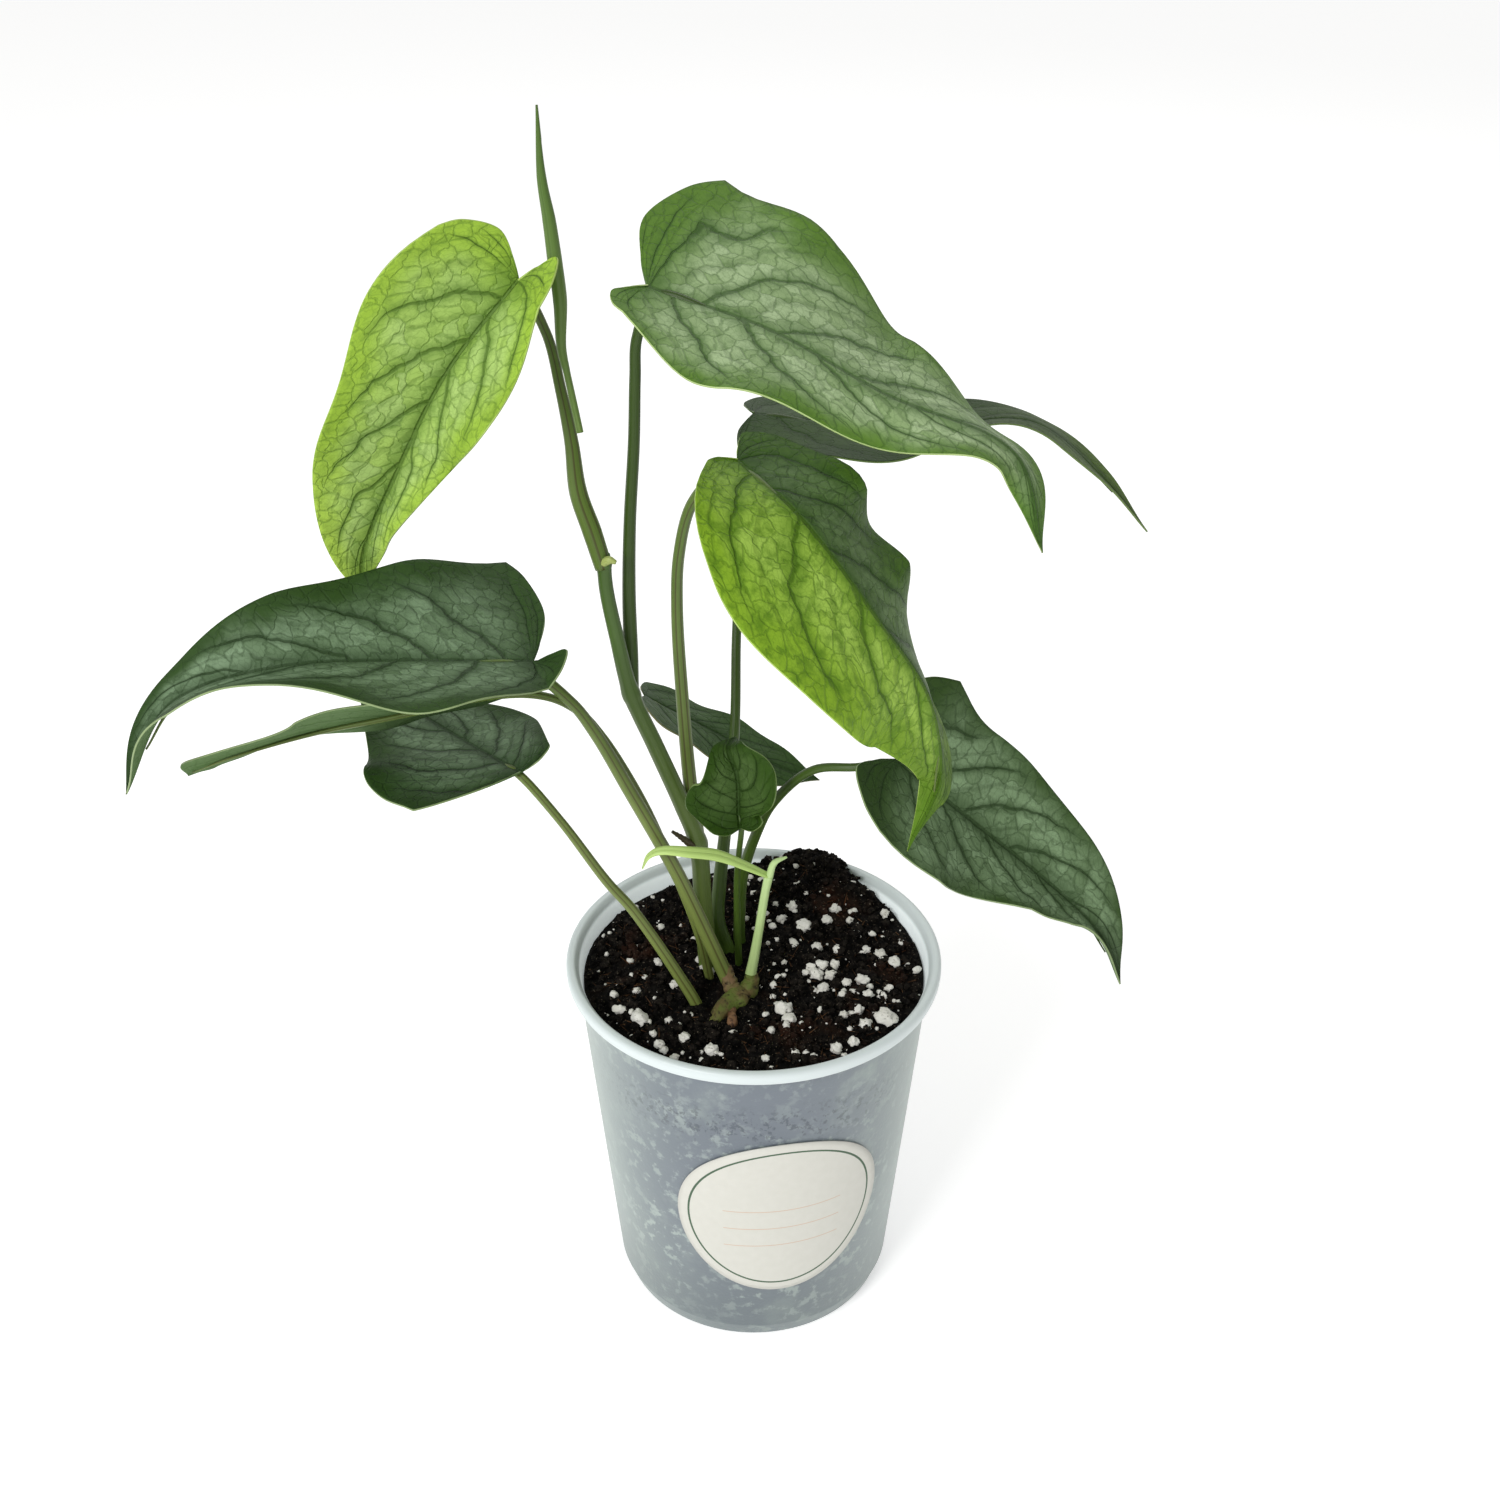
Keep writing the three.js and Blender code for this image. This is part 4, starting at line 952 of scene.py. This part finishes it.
LEAVES = {
    "upper_left": dict(
        midrib=[(-63, 8.5, 344), (-83, 3.5, 320.5), (-100, 4, 290), (-112.5, 7, 262.5),
                (-113.5, 9, 247)],
        faces=[(278, 32), (249, 9)],
        right=half(33, (-0.08, 0.12, -0.18, 0.16), 8.5, (34, 30), 10, (1.7, 0.94)),
        left=half(25.5, (-0.26, 0, 0.22, 0.1), 12.5, (47, -4), 10, (5.4, 0.44))),
    "left_long": dict(
        midrib=[(-62, -22.5, 245), (-95, -33, 251), (-127.5, -42, 254), (-158.5, -42, 242.5),
                (-175.5, -42.5, 213.5)],
        faces=[(267, 88), (265, 70)],
        right=half(38, (0.24, -0.46, 0.06, -0.07), 7.5, (6, 32), 14, (1.9, 0.75)),
        left=half(34.5, (-0.38, 0.46, 0.21, 0.14), 6.5, (3, 39), 12, (3, 0.9), 8)),
    "left_edge_on": dict(
        midrib=[(-79, -12.5, 229.5), (-100, -18, 226.5), (-128.5, -22, 221.5), (-157, -30.5, 215.5),
                (-165, -19, 205)],
        faces=[(91, 54), (84, 55)],
        right=half(18.5, (0, -0.06, 0, 0.1), 14, (-11, -3), 8, (0.7, 0.87)),
        left=half(20, (0.15, 0.15, 0.13, 0.04), 14, (-6, 8), 5, (0.3, 0.22))),
    "lower_left": dict(
        midrib=[(-67, -26, 210.5), (-88, 3, 204), (-110.5, 25, 205), (-131, 39, 214)],
        faces=[(253, 72), (240, 95)],
        right=half(14.5, (-0.14, 0.63, 0.02, 0), 2, (8, -20), 4, (0.3, 0)),
        left=half(36, (0.03, -0.04, 0.04, 0.03), 2, (11, 6), 8, (1.9, 0.42))),
    "top": dict(
        midrib=[(-28, 0, 345), (4, -11.5, 337.5), (33.5, -24.5, 325), (68, -29.5, 310),
                (76, -35, 284.5)],
        faces=[(287, 67), (291, 67)],
        right=half(27.5, (-0.34, 0.27, 0.18, 0.19), 7, (7, -7), 10, (2.8, 0.36)),
        left=half(45, (0.23, -0.05, -0.14, 0.06), 13, (-2, -42), 6, (4.3, 0.75))),
    "behind": dict(
        midrib=[(0, 64.5, 283.5), (47.5, 59, 281), (84, 54, 285), (106, 49.5, 268.5), (120, 42.5, 254)],
        faces=[(281, 92), (297, 92)],
        right=half(33, (0.1, 0, 0.1, 0.12), 3, (-2, 15), 8, (1.8, 0.84)),
        left=half(33.5, (0.13, 0.04, 0.08, 0), 5, (-14, -8), 4, (1.9, 0.11))),
    "centre": dict(
        midrib=[(-4.5, -13.5, 301.5), (12, -36, 295.5), (32.5, -47, 271), (47.5, -44.5, 245.5),
                (52, -41.5, 218.5), (49.5, -46, 213), (42.5, -53, 201.5)],
        faces=[(317, 72), (315, 26)],
        right=half(30, (-0.61, 0.68, 0.26, 0.06), 2, (4, -28), 6, (2.4, 0.14)),
        left=half(32.5, (-0.33, 0.41, -0.07, 0.06), 11, (0, -51), 5, (5.5, 0.01))),
    "right": dict(
        midrib=[(41.5, -15, 208), (65, -12.5, 185), (89.5, -20, 166.5), (101.5, -32.5, 159.5),
                (106.5, -52, 154)],
        faces=[(306, 41), (318, 27)],
        right=half(35, (-0.16, 0.03, -0.05, 0.12), 14, (12, 20), 11, (3.1, 0.73)),
        left=half(34, (-0.07, -0.15, -0.08, -0.02), 15, (27, 13), 8, (1.3, 0.43))),
    "back": dict(
        midrib=[(-35.5, 54, 189.5), (-14, 51.5, 178), (5, 50.5, 166), (22, 50, 159.5)],
        faces=[(270, 104), (275, 68)],
        right=half(23.5, (-0.11, -0.17, 0.01, 0.11), 2, (4, -9), 5, (1.2, 0.6)),
        left=half(23, (-0.21, -0.17, -0.12, 0.07), 2, (-3, 5), 5, (1.1, 0.02))),
    "small": dict(
        midrib=[(-4, -9, 180), (-4.5, -7, 182.5), (-5, -6, 196.5), (-7.5, -3, 204), (-5.5, 3.5, 204.5)],
        faces=[(260, 20), (229, 53)],
        right=half(16.5, (-0.37, 0.21, -0.13, -0.11), 2, (26, 5), 14, (0.5, 0.22)),
        left=half(16, (-0.35, 0.27, 0.09, 0.02), 2, (20, 12), 14, (0.7, 0.57))),
}


def blade_point(leaf, path, u, v, side):
    """A point of the blade, and its place on the flat leaf. side is 1 on the right half, -1 on the left."""
    wing = leaf["right"] if side > 0 else leaf["left"]
    length = path.length
    edge_x, edge_y = outline_at(u)
    edge_along = edge_x * wing["lobe"] * MM if edge_x < 0 else edge_x * length
    edge_out = max(edge_y, 0.0) * wing["width"] * MM * fullness(wing["shape"], max(0.0, min(1.0, edge_x)))
    root = max(0.0, (u - LOBE_SHARE) / (1 - LOBE_SHARE)) ** 1.3 * length
    along = lerp(root, edge_along, v)
    t = max(0.0, min(1.0, along / length))
    centre, ahead = path.place(t)
    centre = centre + ahead * (along - t * length)
    up = heading(*leaf["faces"][0]).lerp(heading(*leaf["faces"][1]), t)
    up = (up - ahead * up.dot(ahead)).normalized()
    outward = ahead.cross(up) * side
    fold = math.radians(lerp(*wing["fold"], t))
    cup = math.radians(wing["cup"])
    out = edge_out * (math.sin(fold + cup * v) - math.sin(fold)) / cup
    rise = edge_out * (math.cos(fold) - math.cos(fold + cup * v)) / cup
    calm = max(0.0, min(1.0, (along / length + 0.1) / 0.3)) * max(0.0, min(1.0, (1 - along / length) / 0.3))
    rise += wing["wave"][0] * MM * v * v * math.sin(math.tau * (2.6 * t + wing["wave"][1])) * calm
    rise += wing["lift"] * MM * max(0.0, -along / (wing["lobe"] * MM)) * v
    rise += 0.4 * MM * quilt(u, v, side) * min(1.0, edge_out / (20 * MM))
    groove = math.exp(-((edge_out * v / (1.2 * MM)) ** 2)) * min(1.0, t * 12) * (1 - t)
    rise -= 0.5 * MM * groove
    return centre + outward * out + up * rise, (side * edge_out * v, along)


print(len(LEAVES), "leaves are described")

# %% [markdown]
# ## Leaf finishes
# The upper side of a blade is dark along its veins and silvery or lime between them, and the silver
# fades towards the edge. The grid's own two directions are kept as a map, so the side veins are
# lines of one direction, bent towards the tip. A second map holds millimetres on the flat leaf, on
# which cells of two sizes draw the fine net. The lower side is paler and duller, and the cut edge
# of the blade is painted as a thin pale line, a painted highlight where it catches the light.

# %% Leaf finishes
def vein_masks(skin):
    """Where the veins, their shaded surroundings and the net are, from 0 to 1, and a few distances."""
    grid = skin.node("UVMap", uv_map="veins")
    flat = skin.node("UVMap", uv_map="flat")
    u = skin.axis(grid, "Y")
    sideways = skin.minus(skin.axis(grid, "X"), 0.5)
    v = skin.times(skin.calc("ABSOLUTE", sideways), 2.0)
    bent = skin.plus(skin.minus(u, skin.times(v, v, VEIN_BEND)), skin.wander(flat, 75, 0.07))
    on_right = skin.calc("GREATER_THAN", sideways, 0.0)
    phase = skin.plus(skin.times(bent, VEIN_PAIRS), skin.times(on_right, RIGHT_SHIFT))
    slim = skin.minus(1.3, skin.times(v, 0.7))
    near = skin.calc("DIVIDE", skin.calc("PINGPONG", phase, 0.5), slim)
    inside = skin.fade(v, 0.95, 0.7)
    side_core = skin.times(skin.fade(near, 0.05, 0.012), inside)
    side_shade = skin.times(skin.fade(near, 0.24, 0.0), inside)
    half_way = skin.calc("PINGPONG", skin.plus(phase, 0.5), 0.5)
    half_way = skin.times(skin.fade(half_way, 0.08, 0.02), inside, 0.4)
    across = skin.calc("ABSOLUTE", skin.axis(flat, "X"))
    along = skin.axis(flat, "Y")
    ahead = skin.fade(along, -0.002, 0.001)
    rib_core = skin.times(skin.fade(across, 0.0010, 0.0004), ahead)
    rib_shade = skin.times(skin.fade(across, 0.0060, 0.0004), ahead)
    notch = skin.fade(skin.size_of(flat), 0.012, 0.001)
    twist = skin.node("VectorMath", flat, skin.wander(flat, 200, 0.006), operation="ADD")
    cells = dict(voronoi_dimensions="2D")
    net = skin.node("TexVoronoi", twist, None, 230, feature="DISTANCE_TO_EDGE", **cells)
    fine = skin.node("TexVoronoi", twist, None, 620, feature="DISTANCE_TO_EDGE", **cells)
    plain_end = skin.times(skin.fade(along, -0.004, 0.012), skin.fade(u, 0.97, 0.84))
    return dict(
        flat=flat, v=v, sideways=sideways, plain_end=plain_end,
        core=skin.most(side_core, rib_core, half_way), shade=skin.most(side_shade, rib_shade, notch),
        net=skin.fade(net, 0.11, 0.01), fine=skin.fade(fine, 0.12, 0.02),
        cell=skin.node("RGBToBW", skin.node("TexVoronoi", twist, None, 230, output="Color", **cells)),
        lit_end=skin.fade(u, 0.86, 0.93), near_tip=skin.fade(u, 0.6, 0.9))


def upper_finish(name, ground, edge, vein, lit=None, reach=0.5, bold=1.0, clouded=0.35, tip=None):
    """The upper side of a blade. lit holds three more colours, painted light for the right half and the tip,
    which light shines through.
    """
    skin = Finish(name + "_top", 0.5, 0.1)
    mask = vein_masks(skin)
    flat = mask["flat"]
    if lit:
        # Painted light: where swap is 1, the right half and the tip take the lit colours, for light shining
        # through the blade.
        swap = skin.most(skin.fade(mask["sideways"], -0.02, 0.012), mask["lit_end"])
        ground, edge, vein = (skin.mix(swap, *pair) for pair in zip((ground, edge, vein), lit))
    if tip:
        edge = skin.mix(mask["near_tip"], edge, tip)
    cloudy = skin.minus(skin.grain(flat, 60, 4, 0.55), 0.5)
    silver = skin.plus(mask["v"], skin.times(cloudy, 0.7))
    silver = skin.times(skin.fade(silver, reach + 0.42, reach - 0.1), mask["plain_end"])
    silver = skin.times(silver, skin.fade(mask["cell"], 0.15, 0.85, 0.6, 1.0))
    tint = skin.mix(silver, edge, ground)
    tint = skin.mix(skin.times(skin.fade(skin.grain(flat, 220, 4, 0.6), 0.42, 0.7), clouded), tint, vein)
    for part, strength in (("shade", 0.6), ("net", 0.4), ("fine", 0.22)):
        tint = skin.mix(skin.times(mask[part], strength * bold), tint, vein)
    deep = skin.mix(0.35, vein, (28, 44, 18))
    skin.put("Base Color", skin.mix(skin.times(mask["core"], 0.65 * bold), tint, deep))
    grooves = skin.plus(skin.times(mask["core"], 0.8), skin.times(mask["net"], 0.35))
    height = skin.plus(skin.minus(1.0, grooves), skin.times(skin.grain(flat, 500, 3), 0.3))
    skin.relief(height, 0.0004, 0.9)
    return skin.material


def under_finish(name, ground, vein):
    """The lower side of a blade: paler, duller, with raised veins."""
    skin = Finish(name + "_under", 0.75, 0.02)
    mask = vein_masks(skin)
    tint = skin.mix(skin.times(skin.grain(mask["flat"], 80, 3), 0.4), ground, vein)
    for part, strength in (("shade", 0.3), ("net", 0.25), ("core", 0.5)):
        tint = skin.mix(skin.times(mask[part], strength), tint, vein)
    skin.put("Base Color", tint)
    skin.relief(skin.plus(mask["core"], skin.times(mask["net"], 0.3)), 0.0003, 0.8)
    return skin.material


def edge_finish(name, colour):
    """The thin edge of a blade, painted pale as a highlight where it catches the light."""
    skin = Finish(name + "_edge", 0.45, 0.4)
    place = skin.node("TexCoord", output="Object")
    darker = tuple(part * 0.85 for part in colour)
    skin.put("Base Color", skin.mix(skin.grain(place, 300, 2), darker, colour))
    return skin.material


def leaf_finishes(name, ground, edge, vein, under, under_vein, rim, **more):
    """The three finishes of one blade, in the order of its material slots."""
    upper = upper_finish(name, ground, edge, vein, **more)
    return [upper, under_finish(name, under, under_vein), edge_finish(name, rim)]


# In each set the last colour is the edge's pale painted highlight.
LEAF_FINISHES = {
    "upper_left": leaf_finishes(
        "lime_leaf", (166, 194, 114), (150, 184, 66), (84, 116, 46),
        (164, 188, 110), (112, 140, 66), (176, 204, 104), reach=0.55, tip=(178, 210, 88)),
    "left_long": leaf_finishes(
        "dark_silver_leaf", (126, 150, 118), (56, 80, 40), (46, 66, 38),
        (98, 122, 82), (68, 92, 52), (140, 160, 110), reach=0.55, tip=(46, 68, 34)),
    "top": leaf_finishes(
        "mid_leaf", (164, 186, 140), (90, 124, 48), (64, 94, 44),
        (136, 158, 104), (96, 120, 66), (176, 198, 130), reach=0.62),
    # The centre leaf: its lime half and tip are painted light shining through the blade, given by lit; the
    # rest is its own green.
    "centre": leaf_finishes(
        "backlit_half_leaf", (104, 128, 84), (74, 104, 40), (56, 82, 38),
        (150, 178, 92), (104, 134, 56), (176, 204, 100), reach=0.5, bold=1.15, clouded=0.7,
        lit=((158, 192, 84), (132, 170, 46), (80, 116, 30)), tip=(104, 134, 50)),
    "right": leaf_finishes(
        "silver_mottled_leaf", (124, 148, 112), (56, 78, 38), (48, 68, 38),
        (118, 138, 106), (84, 104, 68), (132, 152, 104), reach=0.72, tip=(48, 70, 28)),
    "back": leaf_finishes(
        "grey_leaf", (84, 108, 70), (68, 92, 52), (50, 72, 38),
        (96, 118, 80), (72, 94, 56), (140, 140, 100)),
    # The behind leaf lies under the top one: its dark greens are its own colour darkened by a painted shadow
    # of the top leaf, and its lighter tip is where it leaves that painted shadow.
    "behind": leaf_finishes(
        "shadowed_behind_leaf", (60, 84, 38), (48, 72, 28), (36, 58, 20),
        (64, 90, 38), (46, 70, 26), (110, 134, 74), bold=0.6, tip=(92, 116, 54)),
    "small": leaf_finishes(
        "small_dark_leaf", (76, 98, 54), (50, 74, 26), (36, 56, 20),
        (104, 124, 84), (76, 96, 56), (110, 134, 74), bold=0.7),
}
LEAF_FINISHES["left_edge_on"] = LEAF_FINISHES["left_long"]
LEAF_FINISHES["lower_left"] = LEAF_FINISHES["left_long"]
print(len(LEAF_FINISHES), "sets of leaf finishes are ready")

# %% [markdown]
# Now the ten blades are made. The Solidify modifier gives each sheet its thickness, with its second
# finish on the lower side and its third on the edge.

# %% Make the blades
GRID_ALONG = 128
GRID_HALF = 30


def make_blade(name):
    leaf = LEAVES[name]
    path = Path(leaf["midrib"])
    bm = bmesh.new()
    veins = bm.loops.layers.uv.new("veins")
    flat_map = bm.loops.layers.uv.new("flat")
    bmesh.ops.create_grid(bm, x_segments=2 * GRID_HALF, y_segments=GRID_ALONG, size=0.5)
    maps = {}
    for vert in bm.verts:
        x, y = vert.co.xy
        vert.co, flat_place = blade_point(leaf, path, y + 0.5, min(1.0, abs(x) * 2), 1 if x >= 0 else -1)
        maps[vert] = (x + 0.5, y + 0.5), flat_place
    for face in bm.faces:
        for loop in face.loops:
            loop[veins].uv, loop[flat_map].uv = maps[loop.vert]
    bmesh.ops.remove_doubles(bm, verts=bm.verts, dist=2e-6)
    bmesh.ops.dissolve_degenerate(bm, edges=bm.edges, dist=1e-7)
    bm.normal_update()
    up = sum((face.normal * face.calc_area() for face in bm.faces), Vector())
    if up.dot(heading(*leaf["faces"][0]) + heading(*leaf["faces"][1])) < 0:
        bmesh.ops.reverse_faces(bm, faces=bm.faces)
    blade = to_piece("blade_" + name, bm, LEAF_FINISHES[name], "leaf_" + name)
    skin = blade.modifiers.new("thickness", "SOLIDIFY")
    skin.thickness = 0.5 * MM
    skin.offset = 0
    skin.material_offset = 1
    skin.material_offset_rim = 2
    return blade


blades = {name: make_blade(name) for name in LEAVES}
print("blades have", [len(blade.data.polygons) for blade in blades.values()], "faces")

# %% [markdown]
# ## Leaf stalks
# Each stalk rises from the soil or the vine, bends into the blade's notch and goes on as the midrib
# under the blade, thinner and thinner. It is one rod all the way, as it grew, with a shallow
# channel along its upper side.

# %% Leaf stalks
STALKS = {
    "upper_left": ([(-43, 2, 262), (-46, 3, 273), (-49.5, 5, 284), (-51, 8, 298), (-53.5, 11, 312),
        (-57, 13, 328)], [2.6, 2.8, 2.6, 2, 1.6, 1.4]),
    "left_long": ([(-8, -11, 123), (-12.5, -10.5, 135), (-17.5, -11, 149), (-24, -13, 167.5),
        (-37, -15, 197.5), (-46, -18, 219), (-52.5, -20.5, 231)], [2.4, 2.4, 2.3, 2.2, 2, 1.8, 1.6]),
    "left_edge_on": ([(-13, -5, 112), (-17, -5.5, 136), (-23.5, -6, 158.5), (-32, -8, 185),
        (-39, -10, 202.5), (-44.5, -12.5, 214.5), (-50, -14, 223), (-57, -14.5, 228), (-66, -14, 229.5)],
        [1.5, 1.5, 1.4, 1.4, 1.3, 1.3, 1.3, 1.2, 1.2]),
    "lower_left": ([(-14, -19, 104), (-17.5, -20, 119.5), (-24, -20.5, 134), (-36.5, -22, 158.5),
        (-44, -23, 170), (-56.5, -25, 193)], [1.9, 1.9, 1.8, 1.6, 1.5, 1.3]),
    "top": ([(-36.5, 5, 217), (-36.5, 8, 230), (-36.5, 9, 250), (-35.5, 8, 273), (-33.5, 7, 298.5),
        (-32.5, 5, 318), (-31.5, 3.5, 330)], [2.2, 2.2, 2, 1.8, 1.7, 1.6, 1.5]),
    "behind": ([(-6, 7, 106), (-8, 7.5, 120), (-11.5, 9, 132), (-11, 13, 143), (-8.5, 20, 166),
        (-6, 30, 192), (-5.5, 46, 215.5), (-4, 59, 243), (-2, 64, 268)],
        [2.3, 2.3, 2.3, 2.2, 1.9, 1.6, 1.5, 1.4, 1.3]),
    "centre": ([(-17.5, 4, 167), (-19.5, 7, 184), (-21.5, 8, 215), (-22.5, 7, 246), (-21.5, 4, 265),
        (-17.5, -1, 283), (-10, -8.5, 295)], [2.4, 2.2, 2, 1.8, 1.7, 1.6, 1.4]),
    "right": ([(-2, 14, 106), (-4.5, 12.5, 120), (-4.5, 10, 135), (-3.5, 7, 151), (0.5, 3, 169),
        (6, -1, 184), (18, -8, 200), (30, -13, 204)], [2, 2, 1.9, 1.8, 1.7, 1.6, 1.4, 1.3]),
    "back": ([(-15.5, 44, 108), (-16, 46, 121), (-19.5, 52, 133), (-24.5, 54, 147), (-33, 54, 171),
        (-35.5, 54, 181.5)], [1.2, 1.2, 1.2, 1.1, 1.1, 1]),
    "small": ([(-4, 3.5, 108), (-4.8, 2.5, 120), (-5.2, 0.5, 138), (-5.2, -3, 158), (-4.5, -6.5, 170)],
        [1.2, 1.2, 1.1, 1, 0.9]),
}

RIB = [(0.02, 1.0), (0.15, 0.84), (0.3, 0.7), (0.45, 0.56), (0.6, 0.43), (0.75, 0.3), (0.88, 0.18)]


def make_stalk(name, finish):
    points, radii = (list(row) for row in STALKS[name])
    leaf = LEAVES[name]
    path = Path(leaf["midrib"])
    end_radius = radii[-1]
    for part, thinness in RIB:
        share = path.share_at(part)
        ahead = path.direction(share)
        up = heading(*leaf["faces"][0]).lerp(heading(*leaf["faces"][1]), part)
        up = (up - ahead * up.dot(ahead)).normalized()
        radius = end_radius * thinness
        points.append(tuple(path.at(share) * 1000 - up * (radius + 0.45)))
        radii.append(radius)
    return rod("stalk_" + name, points, radii, finish, "leaf_" + name,
               sides=16, steps=110, section=channelled(0.1))


yellow_stalk = stalk_finish("yellow_green_stalk", (114, 126, 66), (92, 112, 54), (60, 76, 30), grooved=0.7)
dark_stalk = stalk_finish("dark_green_stalk", (72, 94, 38), (56, 76, 28), (38, 56, 18))
STALK_FINISHES = dict(top=dark_stalk, behind=dark_stalk, small=dark_stalk, right=dark_stalk)
stalks = {name: make_stalk(name, STALK_FINISHES.get(name, yellow_stalk)) for name in STALKS}
print("stalks:", sorted(stalks))

# %% [markdown]
# ## Rolled new leaf
# The newest leaf stands up as a tight roll with a long fine tip. Its free edge winds round the roll
# as a slanting step, so the rod's cross-section has a small step that turns as it climbs.

# %% Rolled leaf
def rolled(share, angle):
    turn = (angle - share * 5.0) % math.tau
    return 1 + 0.10 * (turn / math.tau - 0.5) - 0.08 * math.exp(-((turn - 0.2) / 0.18) ** 2)


spike_skin = stalk_finish("rolled_leaf_skin", (104, 128, 66), (78, 104, 46), (56, 80, 28), 0.30, 0.38, 0.55)
spike = rod("rolled_leaf",
            [(-48, 2.5, 303), (-49.5, 4, 311), (-51, 5.2, 319), (-52.2, 6.2, 326), (-52, 7, 339),
             (-53, 8, 350), (-54, 9, 360), (-55.5, 10, 371), (-56, 12, 389)],
            [1, 1, 1, 1.3, 1.9, 2, 1.8, 1.3, 0.3], spike_skin, "leaf_rolled",
            sides=28, steps=160, section=rolled)
print("rolled leaf is", round(spike.dimensions.z * 1000, 1), "mm tall")

# %% [markdown]
# ## Finish
# The dressed plant must stay the size of the CAD model. The last step brings the view layer up to
# date.

# %% Finish
bpy.context.view_layer.update()
